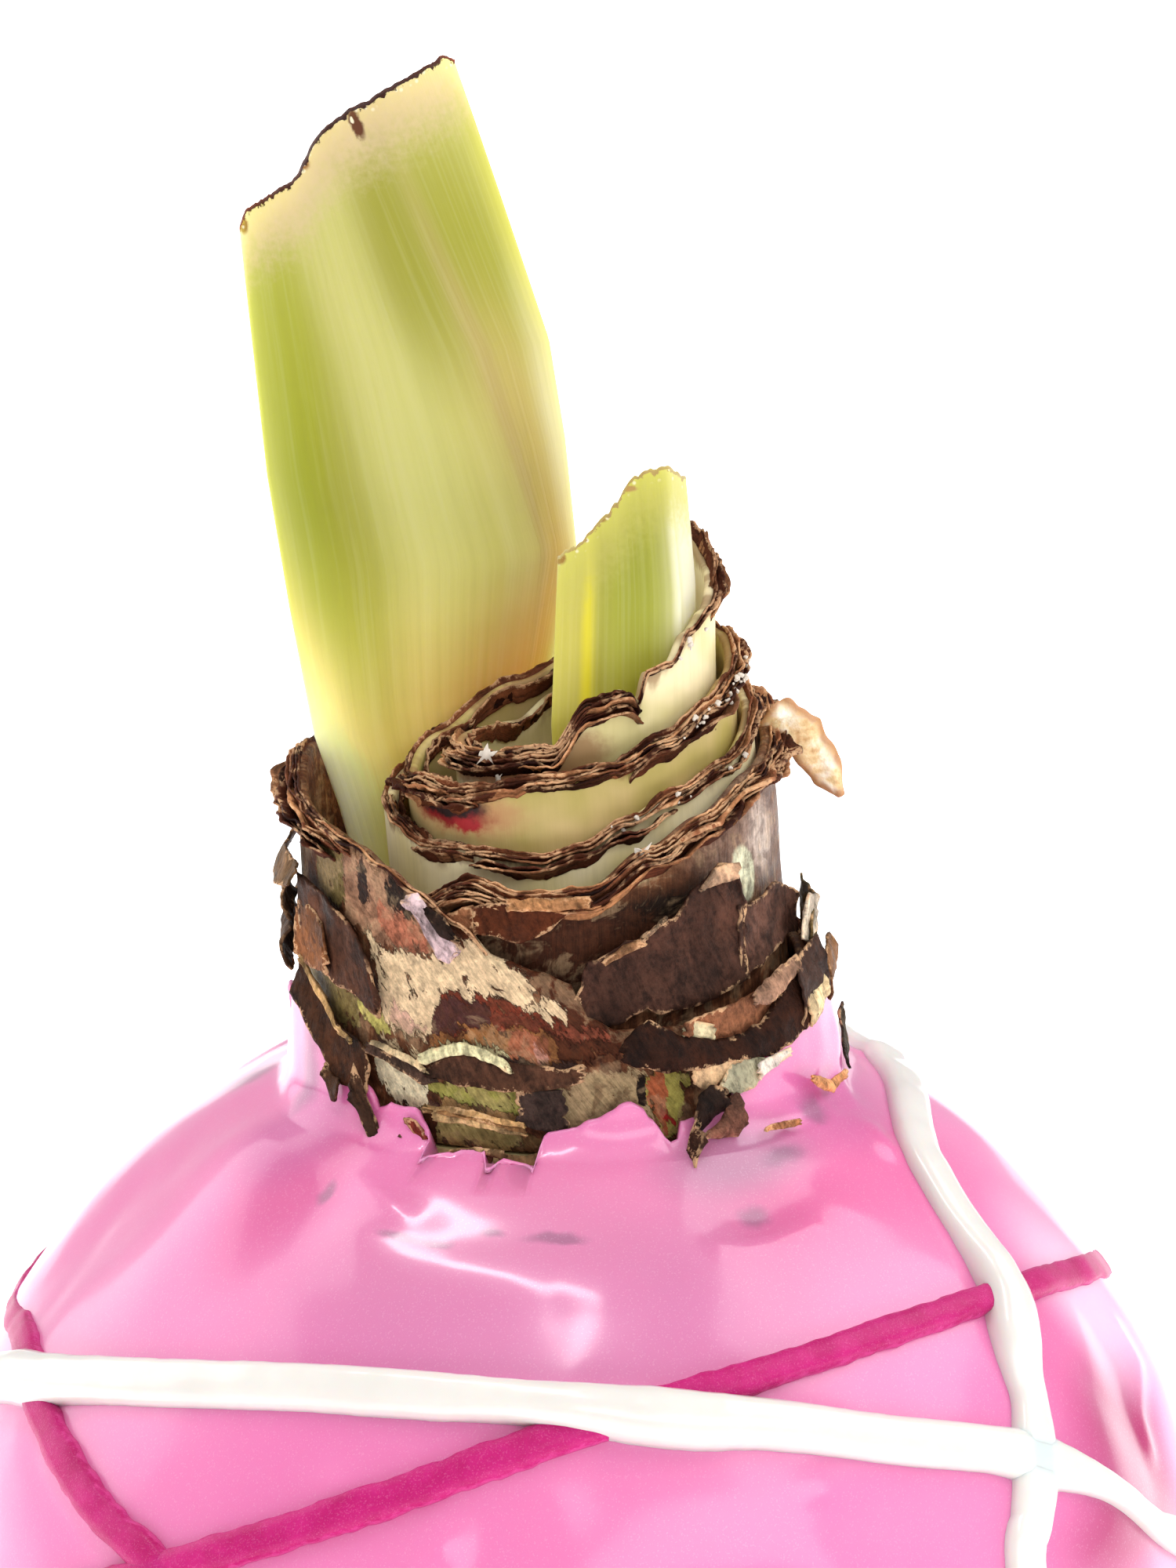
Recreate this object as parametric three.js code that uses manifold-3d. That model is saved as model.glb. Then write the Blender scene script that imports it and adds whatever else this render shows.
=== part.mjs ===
// Waxed amaryllis bulb: a large bulb dipped in pink wax and trimmed with poured lines of white and magenta wax.
// The neck stands out of the wax as nested scales that were cut and have dried, with torn brown tunic round
// them, one tall cut leaf and one short folded leaf.
// Millimetres, +Z up, origin at the middle of the flat wax foot. The front of the bulb faces -Y.
import * as THREE from "three";
import Module from "manifold-3d";

const wasm = await Module();
wasm.setup();
const { clamp, degToRad, euclideanModulo, lerp, seededRandom, smoothstep } = THREE.MathUtils;

// Azimuths are in degrees round the bulb from the front (-Y) towards the right (+X); heights are above the foot.

const GAP = 0.3; // between pieces that touch

// Wax coat
const BODY_RADIUS = 49; // half the widest girth, wax included
const BODY_Z = 42; // height of the widest girth
const BASE_DEPTH = 46; // from the widest girth down to where the round base would end
const WAX_WALL = 2.2;
const FLOOR_WALL = 2.5;
const COLLAR = { across: 20.4, deep: 19.1, wall: 1, thinning: 0.4 }; // half-sizes round the neck, walls
const COLLAR_FILLET = 3;
const BODY_SIDES = 52; // faces round the coat and round the bulb inside it

// Poured wax lines
const WHITE_LINE = { halfWidth: 2.1, height: 1.4 };
const MAGENTA_LINE = { halfWidth: 1.5, height: 1.2 };
const CROSSING_REACH = 3.2; // how far from a crossing the upper line starts to climb

// Neck
const SHOULDER_Z = 86; // where the neck leaves the body
const NECK_LEAN = 5; // degrees to the left
const LEDGE_Z = 85.9; // the outer scales stand on this shoulder of the body
const CORE_TOP_Z = 100; // the inner scales and the leaves stand on this
const NECK_TAPER_TOP_Z = 106;
const NECK_SIDES = 44;
const FLAKE_THICKNESS = 0.7;

// Scales in plan, low and high: right, back, half across, half deep, then the turn of the long way in degrees
// and how far each millimetre of rim moves out to the right
const OUTER_SCALE = { low: [0, 0, 18.85, 17.6], high: [0, 0, 17.8, 16.9], turn: 0 };
const SCALE_4 = { low: [0, 0, 17, 15.9], high: [0.7, -0.2, 16.4, 15.2], turn: 0 };
const SCALE_3 = { low: [2.3, -2.8, 13.8, 9.3], high: [2.3, -2.8, 13.8, 9.3], turn: 15, flare: 0.04 };
const SCALE_2 = { low: [2.6, -2.7, 12.3, 7.9], high: [2.6, -2.7, 12.3, 7.9], turn: 15, flare: 0.05 };
const SCALE_1 = { low: [3.1, -2.5, 9.6, 6.4], high: [3.6, -2.5, 9.6, 6.4], turn: 15, flare: 0.08 };
const FLARE_Z = 112;

// ---- helpers ---------------------------------------------------------------------------------------------

// A value that changes smoothly round the bulb, from [azimuth, value] pairs in rising azimuth
function around(keys) {
  return (azimuth) => {
    const at = euclideanModulo(azimuth - keys[0][0], 360) + keys[0][0];
    const next = keys.findIndex(([key]) => key > at);
    const [fromAt, from] = keys[(next < 0 ? keys.length : next) - 1];
    const [toAt, to] = next < 0 ? [keys[0][0] + 360, keys[0][1]] : keys[next];
    return lerp(from, to, smoothstep(at, fromAt, toAt));
  };
}

// A value that changes along a line, from [place, value] pairs in rising place, level past both ends
function along(keys) {
  return (place) => {
    const next = keys.findIndex(([key]) => key > place);
    if (next === 0) return keys[0][1];
    if (next < 0) return keys.at(-1)[1];
    const [fromAt, from] = keys[next - 1];
    const [toAt, to] = keys[next];
    return lerp(from, to, (place - fromAt) / (toAt - fromAt));
  };
}

// The geometry of a closed body, with its faces turned outwards
function bodyOf(points, faces) {
  let volume = 0;
  for (let i = 0; i < faces.length; i += 3) {
    const [a, b, c] = [points[faces[i]], points[faces[i + 1]], points[faces[i + 2]]];
    volume += a.dot(b.clone().cross(c));
  }
  const geometry = new THREE.BufferGeometry().setFromPoints(points);
  geometry.setIndex(volume < 0 ? faces.toReversed() : faces);
  return geometry;
}

// A body through loops of points; its two ends are closed with fans, or joined to each other
function loftBody(loops, joined = false) {
  const count = loops[0].length;
  const points = loops.flat();
  const faces = [];
  const spans = joined ? loops.length : loops.length - 1;
  for (let j = 0; j < spans; j++) {
    const low = j * count;
    const high = ((j + 1) % loops.length) * count;
    for (let i = 0; i < count; i++) {
      const next = (i + 1) % count;
      faces.push(low + i, low + next, high + next);
      faces.push(low + i, high + next, high + i);
    }
  }
  if (!joined) {
    for (const end of [0, loops.length - 1]) {
      const middle = new THREE.Vector3();
      loops[end].forEach((point) => middle.addScaledVector(point, 1 / count));
      points.push(middle);
      for (let i = 0; i < count; i++) {
        const edge = [end * count + i, end * count + ((i + 1) % count)];
        faces.push(points.length - 1, ...(end ? edge : edge.reverse()));
      }
    }
  }
  return bodyOf(points, faces);
}

// A thin body between two grids of points, split into triangles alike on both faces
function sheetBody(front, back) {
  const rows = front.length;
  const columns = front[0].length;
  const points = [...front.flat(), ...back.flat()];
  const behind = rows * columns;
  const faces = [];
  for (let j = 0; j < rows - 1; j++) {
    for (let i = 0; i < columns - 1; i++) {
      const corner = j * columns + i;
      const quad = [corner, corner + 1, corner + columns + 1, corner + columns];
      for (const [a, b, c] of [[quad[0], quad[1], quad[2]], [quad[0], quad[2], quad[3]]]) {
        faces.push(a, b, c, behind + c, behind + b, behind + a);
      }
    }
  }
  const rim = [];
  for (let i = 0; i < columns - 1; i++) rim.push(i);
  for (let j = 0; j < rows - 1; j++) rim.push(j * columns + columns - 1);
  for (let i = columns - 1; i > 0; i--) rim.push((rows - 1) * columns + i);
  for (let j = rows - 1; j > 0; j--) rim.push(j * columns);
  rim.forEach((a, i) => {
    const b = rim[(i + 1) % rim.length];
    faces.push(b, a, behind + a, b, behind + a, behind + b);
  });
  return bodyOf(points, faces);
}

function solidOf(geometry) {
  return new wasm.Manifold(
    new wasm.Mesh({
      numProp: 3,
      vertProperties: geometry.getAttribute("position").array,
      triVerts: new Uint32Array(geometry.getIndex().array),
    }),
  );
}

// The geometry of a solid's largest piece, so that a scrap left by a cut is dropped
function geometryOf(solid) {
  const largest = solid.decompose().reduce((a, b) => (a.volume() > b.volume() ? a : b));
  const mesh = largest.getMesh();
  const geometry = new THREE.BufferGeometry();
  geometry.setAttribute("position", new THREE.BufferAttribute(mesh.vertProperties, 3));
  geometry.setIndex(new THREE.BufferAttribute(mesh.triVerts, 1));
  return geometry;
}

const bulb = new THREE.Group();

function add(name, geometry, material) {
  const mesh = new THREE.Mesh(geometry, material);
  mesh.name = name;
  bulb.add(mesh);
}

// ---- shape of the waxed body -----------------------------------------------------------------------------

function towards(azimuth, elevation) {
  const [a, e] = [degToRad(azimuth), degToRad(elevation)];
  return new THREE.Vector3(Math.sin(a) * Math.cos(e), -Math.cos(a) * Math.cos(e), Math.sin(e));
}

// Soft ridges and dents of the dipped wax: azimuth, elevation, reach across, reach up and down, height
const LUMPS = [
  [-55, 50, 8, 12, 0.9],
  [-81, 46, 7, 12, -0.7],
  [-43, 55, 6, 9, -0.6],
  [36, 59, 9, 6, -0.6],
  [83, 32, 6, 11, 0.8],
  [73, 27, 5, 10, -0.7],
  [61, 27, 5, 9, 0.6],
  [-25, 33, 9, 6, -0.5],
  [-6, 31, 7, 5, -0.5],
  [29, 31, 9, 6, -0.4],
  [12, -12, 16, 12, 0.6],
  [-48, -8, 12, 18, -0.6],
  [112, 6, 12, 16, -0.6],
  [140, 40, 9, 14, 0.8],
  [166, 24, 8, 13, -0.6],
  [201, 47, 9, 10, 0.7],
  [211, 8, 12, 17, 0.6],
  [240, 35, 10, 12, -0.6],
  [262, -18, 14, 12, 0.5],
];

function lump(azimuth, elevation) {
  let height = 0;
  for (const [atAzimuth, atElevation, across, up, rise] of LUMPS) {
    const turn = euclideanModulo(azimuth - atAzimuth + 180, 360) - 180;
    const sideways = (turn * Math.cos(degToRad(atElevation))) / across;
    height += rise * Math.exp(-(sideways ** 2) - ((elevation - atElevation) / up) ** 2);
  }
  return height;
}

// Distance from the middle of the body to the plain egg shape, so much inside the wax surface
function reach(elevation, inset) {
  const across = BODY_RADIUS - inset;
  const down = (elevation < 0 ? BASE_DEPTH : BODY_RADIUS) - inset;
  return 1 / Math.hypot(Math.cos(degToRad(elevation)) / across, Math.sin(degToRad(elevation)) / down);
}

function eggPoint(azimuth, elevation, lift) {
  const point = towards(azimuth, elevation).multiplyScalar(reach(elevation, 0) + lift);
  point.z += BODY_Z;
  return point;
}

// Elevation at which the round base, so much inside the wax, meets the height of its flat floor
function floorElevation(inset, height) {
  const drop = height - BODY_Z;
  const radius = (BODY_RADIUS - inset) * Math.sqrt(1 - (drop / (BASE_DEPTH - inset)) ** 2);
  return (Math.atan2(drop, radius) * 180) / Math.PI;
}

// How far the neck has leaned to the left at a height
function lean(z) {
  return -Math.tan(degToRad(NECK_LEAN)) * Math.max(0, z - SHOULDER_Z);
}

function neckPoint(right, back, z) {
  return new THREE.Vector3(right + lean(z), back, z);
}

// A point of a scale's outline at a height, so much outside its outer face
function scalePoint(scale, azimuth, z, outside) {
  const share = clamp((z - LEDGE_Z) / (NECK_TAPER_TOP_Z - LEDGE_Z), 0, 1);
  const [right, back, across, deep] = scale.low.map((value, i) => lerp(value, scale.high[i], share));
  const x = (across + outside) * Math.sin(degToRad(azimuth));
  const y = -(deep + outside) * Math.cos(degToRad(azimuth));
  const turn = degToRad(scale.turn);
  const turnedX = x * Math.cos(turn) - y * Math.sin(turn);
  const turnedY = x * Math.sin(turn) + y * Math.cos(turn);
  const flared = (scale.flare ?? 0) * Math.max(0, z - FLARE_Z);
  return neckPoint(right + turnedX + flared, back + turnedY, z);
}

function loop(sides, pointAt) {
  return Array.from({ length: sides }, (_, i) => pointAt((360 * i) / sides));
}

// ---- wax coat --------------------------------------------------------------------------------------------

// Height of the wax edge round the neck
const WAX_EDGE = around([
  [-68, 92.4],
  [-52, 88.6],
  [-39, 87],
  [-20, 86.4],
  [-6, 86.8],
  [2, 88.8],
  [12, 89.4],
  [22, 86.6],
  [30, 87.4],
  [40, 88.9],
  [54, 91],
  [69, 92.4],
  [84, 94],
  [104, 93],
  [130, 90.6],
  [160, 88.8],
  [186, 90.2],
  [214, 88.6],
  [245, 90.4],
  [272, 93],
]);

// The outer face up to the edge: the egg with its lumps, then a hollow curve into the upright collar
function coatOutside(azimuth, share) {
  const along = degToRad(azimuth);
  const collar = 1 / Math.hypot(Math.sin(along) / COLLAR.across, Math.cos(along) / COLLAR.deep);
  const bendR = collar + COLLAR_FILLET;
  const bendZ = BODY_Z + Math.sqrt((BODY_RADIUS + COLLAR_FILLET) ** 2 - bendR ** 2);
  const startZ = BODY_Z + ((bendZ - BODY_Z) * BODY_RADIUS) / (BODY_RADIUS + COLLAR_FILLET);
  const edgeZ = WAX_EDGE(azimuth);
  const z = lerp(startZ, edgeZ, share);
  const bend = Math.sqrt(Math.max(0, COLLAR_FILLET ** 2 - (z - bendZ) ** 2));
  const radius = (z < bendZ ? bendR - bend : collar) - COLLAR.thinning * share;
  return new THREE.Vector3(radius * Math.sin(along) + lean(z), -radius * Math.cos(along), z);
}

const EGG_LEVELS = [-52, -39, -27, -15, -4, 7, 17, 26, 34, 42, 49, 56, 61];
const COLLAR_LEVELS = [0, 0.3, 0.6, 1];
const INNER_LEVELS = [58, 42, 25, 8, -10, -28, -46];

function waxCoat() {
  const foot = floorElevation(0, 0);
  const floor = floorElevation(WAX_WALL, FLOOR_WALL);
  const loops = [loop(BODY_SIDES, (azimuth) => eggPoint(azimuth, foot, 0))];
  for (const level of EGG_LEVELS) {
    loops.push(loop(BODY_SIDES, (azimuth) => eggPoint(azimuth, level, lump(azimuth, level))));
  }
  for (const level of COLLAR_LEVELS) {
    loops.push(loop(BODY_SIDES, (azimuth) => coatOutside(azimuth, level)));
  }
  const bore = { low: [0, 0, COLLAR.across - COLLAR.wall, COLLAR.deep - COLLAR.wall], turn: 0 };
  bore.high = bore.low;
  const inner = (azimuth, z) => scalePoint(bore, azimuth, z, 0);
  loops.push(loop(BODY_SIDES, (azimuth) => inner(azimuth, WAX_EDGE(azimuth) - 0.1)));
  const boreZ = BODY_Z + Math.sqrt((BODY_RADIUS - WAX_WALL) ** 2 - bore.low[2] ** 2);
  loops.push(loop(BODY_SIDES, (azimuth) => inner(azimuth, boreZ)));
  for (const level of [...INNER_LEVELS, floor]) {
    loops.push(loop(BODY_SIDES, (azimuth) => {
      const point = towards(azimuth, level).multiplyScalar(reach(level, WAX_WALL));
      return point.setZ(point.z + BODY_Z);
    }));
  }
  return loftBody(loops);
}

const pinkWax = new THREE.MeshStandardMaterial({ color: 0xdf83bb, roughness: 0.22, metalness: 0 });
add("wax_coat", waxCoat(), pinkWax);

// ---- poured wax lines ------------------------------------------------------------------------------------

// Routes as [azimuth, elevation] seen from the middle of the body
const WHITE_ROUND = [
  [-71, 31.3], [-64, 33.3], [-46, 38.1], [-27, 41.3], [-10, 41.9], [10, 40.3], [22, 38.7], [35, 35.5],
  [48, 31.4], [57, 26.4], [66, 19.2], [80, 12], [100, 3], [125, -9], [155, -18], [185, -20],
  [212, -12], [238, 3], [262, 18], [277, 26],
];
const WHITE_SHOULDER = [
  [33, -40], [34, -28], [37, -16], [40, -3], [42, 10], [45.1, 22.2], [50.7, 30.6], [54.5, 37.3], [59.5, 43.4],
  [62.5, 48.4], [66, 52.4], [72, 56], [82, 58.6], [98, 59.4], [118, 58.6], [138, 55.5], [156, 49],
  [170, 39], [179, 27], [186, 13], [191, -1], [196, -34],
];
const MAGENTA_RISING = [
  [-60, 12.5], [-38, 24], [-21, 31.7], [-9, 36.4], [6, 40.7], [19, 42.7], [35, 44.1], [58, 43.4],
  [83, 38.4], [100, 33], [115, 26], [130, 18], [150, 7], [170, -2], [195, -8], [220, -10],
  [245, -9], [265, -4], [285, 5],
];
const MAGENTA_FALLING = [
  [-76, 33.6], [-63, 31.1], [-54, 28.4], [-46, 25.9], [-39, 24], [-20, 15], [0, 5], [20, -5],
  [45, -15], [72, -21], [100, -21.5], [130, -15], [155, -5], [180, 7], [205, 19], [230, 28], [255, 32.5],
];

// Half of a line's outline across its run: place across and height, from one foot over the top to the other
const BEAD = [[-1, 0], [-0.95, 0.55], [-0.55, 0.93], [0, 1], [0.55, 0.93], [0.95, 0.55], [1, 0]];

function routeOf(keys, closed, steps) {
  const points = keys.map(([azimuth, elevation]) => towards(azimuth, elevation));
  const spaced = new THREE.CatmullRomCurve3(points, closed).getSpacedPoints(steps);
  if (closed) spaced.pop();
  return spaced.map((point) => point.normalize());
}

// A bead of wax along a route, from a base height over the coat to its top, which may rise at places
function bead(route, closed, halfWidth, base, height, riseAt = () => 0) {
  const loops = route.map((heading, i) => {
    const last = route.length - 1;
    const before = route[closed ? (i + last) % route.length : Math.max(0, i - 1)];
    const after = route[closed ? (i + 1) % route.length : Math.min(last, i + 1)];
    const sideways = after.clone().sub(before).cross(heading).normalize();
    const rise = riseAt(heading);
    const end = closed ? 1 : clamp(Math.min(i, last - i) * 0.35 + 0.45, 0, 1);
    const at = (across, up) => {
      const shift = (across * halfWidth * end) / BODY_RADIUS;
      const to = heading.clone().addScaledVector(sideways, shift).normalize();
      const elevation = (Math.asin(to.z) * 180) / Math.PI;
      const azimuth = (Math.atan2(to.x, -to.y) * 180) / Math.PI;
      const lift = lump(azimuth, elevation) + base + up * (height * end + rise);
      return eggPoint(azimuth, elevation, lift);
    };
    return [...BEAD.map(([across, up]) => at(across, up)), at(0, 0)];
  });
  return loftBody(loops, closed);
}

const magentaRoutes = [routeOf(MAGENTA_RISING, true, 64), routeOf(MAGENTA_FALLING, true, 64)];
const magentaWax = new THREE.MeshStandardMaterial({ color: 0xc5268c, roughness: 0.35, metalness: 0.1 });
const [rising, falling] = magentaRoutes.map((route) =>
  solidOf(bead(route, true, MAGENTA_LINE.halfWidth, GAP, MAGENTA_LINE.height)),
);
add("magenta_wax_lines", geometryOf(rising.add(falling)), magentaWax);

// The white wax was poured last, so it climbs over the magenta
const climb = MAGENTA_LINE.height + GAP;
function climbAt(heading) {
  let nearest = Infinity;
  for (const point of magentaRoutes.flat()) {
    nearest = Math.min(nearest, point.angleTo(heading) * BODY_RADIUS);
  }
  const away = Math.max(0, nearest - MAGENTA_LINE.halfWidth) / CROSSING_REACH;
  return climb * Math.exp(-(away ** 2));
}
const whiteSolids = [
  bead(routeOf(WHITE_ROUND, true, 72), true, WHITE_LINE.halfWidth, GAP, WHITE_LINE.height, climbAt),
  bead(routeOf(WHITE_SHOULDER, false, 48), false, WHITE_LINE.halfWidth, GAP, WHITE_LINE.height, climbAt),
].map(solidOf);
const clearances = magentaRoutes.map((route) =>
  solidOf(bead(route, true, MAGENTA_LINE.halfWidth + GAP, -GAP, MAGENTA_LINE.height + 3 * GAP)),
);
const whiteWax = new THREE.MeshStandardMaterial({ color: 0xf6f3ef, roughness: 0.25, metalness: 0 });
const whiteLines = whiteSolids[0].add(whiteSolids[1]).subtract(clearances[0]).subtract(clearances[1]);
add("white_wax_lines", geometryOf(whiteLines), whiteWax);

// ---- bulb inside the wax ---------------------------------------------------------------------------------

const SCALE_WALL = 1;
const RIM_WALL = 0.8;

function bulbBody() {
  const inset = WAX_WALL + GAP;
  const ledge = [COLLAR.across, COLLAR.deep].map((half) => half - COLLAR.wall - GAP);
  const shoulder = { low: [0, 0, ...ledge], high: [0, 0, ...ledge], turn: 0 };
  const ringZ = BODY_Z + Math.sqrt((BODY_RADIUS - inset) ** 2 - ledge[0] ** 2);
  const loops = [];
  for (const level of [floorElevation(inset, FLOOR_WALL + GAP), ...INNER_LEVELS.toReversed()]) {
    loops.push(loop(BODY_SIDES, (azimuth) => {
      const point = towards(azimuth, level).multiplyScalar(reach(level, inset));
      return point.setZ(point.z + BODY_Z);
    }));
  }
  loops.push(loop(BODY_SIDES, (azimuth) => scalePoint(shoulder, azimuth, ringZ, 0)));
  loops.push(loop(BODY_SIDES, (azimuth) => scalePoint(shoulder, azimuth, LEDGE_Z, 0)));
  const core = -SCALE_WALL - 2 * GAP;
  for (const z of [LEDGE_Z, (LEDGE_Z + CORE_TOP_Z) / 2, CORE_TOP_Z]) {
    loops.push(loop(BODY_SIDES, (azimuth) => scalePoint(SCALE_4, azimuth, z, core)));
  }
  return loftBody(loops);
}

const flesh = new THREE.MeshStandardMaterial({ color: 0xe4dfb4, roughness: 0.6, metalness: 0 });
add("bulb_body", bulbBody(), flesh);

// ---- scales of the neck ----------------------------------------------------------------------------------

const RIM_SHARES = [0, 0.45, 0.85, 1];

// A ring-shaped scale wall from its foot up to its cut rim
function scaleRing(scale, footZ, rimAt, ragged) {
  const tears = Array.from({ length: NECK_SIDES }, () => ragged * (seededRandom() - 0.5));
  const level = (azimuth, share) => {
    const side = Math.round((azimuth * NECK_SIDES) / 360);
    return lerp(footZ, rimAt(azimuth) + tears[side], share);
  };
  const outer = RIM_SHARES.map((share) =>
    loop(NECK_SIDES, (azimuth) => scalePoint(scale, azimuth, level(azimuth, share), 0)),
  );
  const inner = RIM_SHARES.map((share) => {
    const wall = lerp(SCALE_WALL, RIM_WALL, share);
    return loop(NECK_SIDES, (azimuth) => scalePoint(scale, azimuth, level(azimuth, share), -wall));
  });
  return loftBody([...outer, ...inner.reverse()], true);
}

const RIMS = {
  scale_1: around([
    [-105, 113.1], [-60, 113.2], [-24, 114], [-8, 117.2], [6, 117.9], [14, 117.1], [18, 119], [30, 119.4],
    [42, 121.4], [58, 122.6], [90, 124.5], [116, 126], [134, 124], [160, 118], [184, 114.8], [204, 113],
  ]),
  scale_2: around([
    [-95, 110.8], [-68, 111.4], [-55, 111.1], [-15, 112.3], [5, 113], [23, 114.5], [44, 116.3], [62, 117.6],
    [98, 119.8], [125, 120.4], [160, 118], [190, 115.4], [225, 112.6],
  ]),
  scale_3: around([
    [-98, 109], [-80, 108], [-63, 107], [-41, 107.2], [-20, 106.8], [-8, 107.5], [5, 109.1], [25, 110.8],
    [42, 112], [85, 115], [110, 117], [150, 114.6], [185, 112.2], [225, 110.4],
  ]),
  scale_4: around([
    [-90, 101.6], [-55, 101.6], [-36, 103.6], [-20, 105.9], [-8, 104.9], [8, 105.2], [25, 107.8],
    [41, 109.5], [63, 111.5], [88, 112.4], [102, 114.6], [130, 113.6], [175, 110.4], [225, 104],
  ]),
  outer_scale: around([
    [-104, 110.6], [-83, 108.8], [-60, 108], [-47, 107.3], [-39, 106.2], [-30, 104.8], [-20, 102.8],
    [-12, 100.6], [-2, 99.6], [4, 98.8], [8, 96.2], [14, 95.2], [60, 94.4], [84, 96], [120, 96.6],
    [150, 99.5], [185, 104], [225, 108],
  ]),
};

const paleScale = new THREE.MeshStandardMaterial({ color: 0xd3cf97, roughness: 0.55, metalness: 0 });
const driedScale = new THREE.MeshStandardMaterial({ color: 0x7a5038, roughness: 0.75, metalness: 0 });
const footOnCore = CORE_TOP_Z + GAP;
const footOnLedge = LEDGE_Z + GAP;

seededRandom(5);
add("scale_1", scaleRing(SCALE_1, footOnCore, RIMS.scale_1, 0.7), paleScale.clone());
add("scale_2", scaleRing(SCALE_2, footOnCore, RIMS.scale_2, 0.7), paleScale.clone());
add("scale_3", scaleRing(SCALE_3, footOnCore, RIMS.scale_3, 0.6), paleScale.clone());
add("scale_4", scaleRing(SCALE_4, footOnLedge, RIMS.scale_4, 0.7), driedScale.clone());
add("outer_scale", scaleRing(OUTER_SCALE, footOnLedge, RIMS.outer_scale, 1.2), driedScale.clone());

// ---- leaves ----------------------------------------------------------------------------------------------

function gridOf(rows, columns, pointAt) {
  return Array.from({ length: rows + 1 }, (_, j) =>
    Array.from({ length: columns + 1 }, (_, i) => pointAt(i / columns, j / rows)),
  );
}

const TALL_LEAF = {
  thickness: 1.9,
  edge: 0.8,
  topAt: along([[0, 149.4], [0.04, 150.6], [0.27, 153.4], [0.34, 155.4], [0.96, 161], [1, 160.8]]),
  leftAt: along([[100, -13.9], [106, -15], [111.5, -16.3], [121, -17.1], [131, -17.7], [149, -17.8]]),
  rightAt: along([[100, -0.5], [114, 1.1], [124, 4], [132.6, 3.9], [140, 3.4], [150.4, 1], [161.3, -1.6]]),
  leftBack: along([[100, 1.5], [111, 1.5], [149, 0.5]]),
  rightBack: along([[100, 9.5], [114, 8.5], [124, 7.5], [140, 6], [150, 4.5], [161, 3]]),
  bulgeAt: along([[100, 1], [120, 3], [161, 3.6]]),
  creaseAt: along([[100, 0.9], [125, 0.86], [140, 0.72], [157, 0.56]]),
  creaseDepth: 0.7,
  creaseReach: 0.1,
};

const SHORT_LEAF = {
  thickness: 1.2,
  edge: 0.8,
  keel: 0.8, // share of the width at which the blade is folded
  topAt: along([[0, 126.4], [0.1, 127.4], [0.25, 128.8], [0.6, 132.9], [0.8, 133.6], [1, 132]]),
  leftAt: along([[100, 0.8], [114, 1.3], [126.6, 2.9]]),
  keelAt: along([[100, 9.5], [121, 10.5], [133.5, 11.2]]),
  rightAt: along([[100, 10.5], [121, 11.6], [132, 12.2]]),
  leftBack: -4.7,
  keelBack: -4.7,
  rightBack: -2.2,
  bulge: 0.5,
};

function edgeThinned(leaf, share) {
  return lerp(leaf.edge, leaf.thickness, Math.sqrt(Math.max(0, 4 * share * (1 - share))));
}

function tallLeaf() {
  const pointAt = (behind) => (share, rise) => {
    const z = lerp(footOnCore, TALL_LEAF.topAt(share), rise);
    const right = lerp(TALL_LEAF.leftAt(z), TALL_LEAF.rightAt(z), share);
    const crease = Math.exp(-(((share - TALL_LEAF.creaseAt(z)) / TALL_LEAF.creaseReach) ** 2));
    const bulge = TALL_LEAF.bulgeAt(z) * 4 * share * (1 - share) - TALL_LEAF.creaseDepth * crease;
    const back = lerp(TALL_LEAF.leftBack(z), TALL_LEAF.rightBack(z), share) - bulge;
    return neckPoint(right, back + behind * edgeThinned(TALL_LEAF, share), z);
  };
  return sheetBody(gridOf(15, 16, pointAt(0)), gridOf(15, 16, pointAt(1)));
}

function shortLeaf() {
  const { keel } = SHORT_LEAF;
  const pointAt = (behind) => (share, rise) => {
    const z = lerp(footOnCore, SHORT_LEAF.topAt(share), rise);
    const beforeKeel = Math.min(1, share / keel);
    const pastKeel = Math.max(0, (share - keel) / (1 - keel));
    const toKeel = lerp(SHORT_LEAF.leftAt(z), SHORT_LEAF.keelAt(z), beforeKeel);
    const right = lerp(toKeel, SHORT_LEAF.rightAt(z), pastKeel);
    const toKeelBack = lerp(SHORT_LEAF.leftBack, SHORT_LEAF.keelBack, beforeKeel);
    const bulge = SHORT_LEAF.bulge * 4 * beforeKeel * (1 - beforeKeel);
    const back = lerp(toKeelBack, SHORT_LEAF.rightBack, pastKeel) - bulge;
    const depth = behind * edgeThinned(SHORT_LEAF, share);
    return neckPoint(right - depth * 0.6 * share, back + depth, z);
  };
  return sheetBody(gridOf(9, 10, pointAt(0)), gridOf(9, 10, pointAt(1)));
}

const leafGreen = new THREE.MeshStandardMaterial({ color: 0xb9cc5c, roughness: 0.4, metalness: 0 });
add("tall_leaf", tallLeaf(), leafGreen);
add("short_leaf", shortLeaf(), leafGreen.clone());

// ---- torn tunic ------------------------------------------------------------------------------------------

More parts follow.
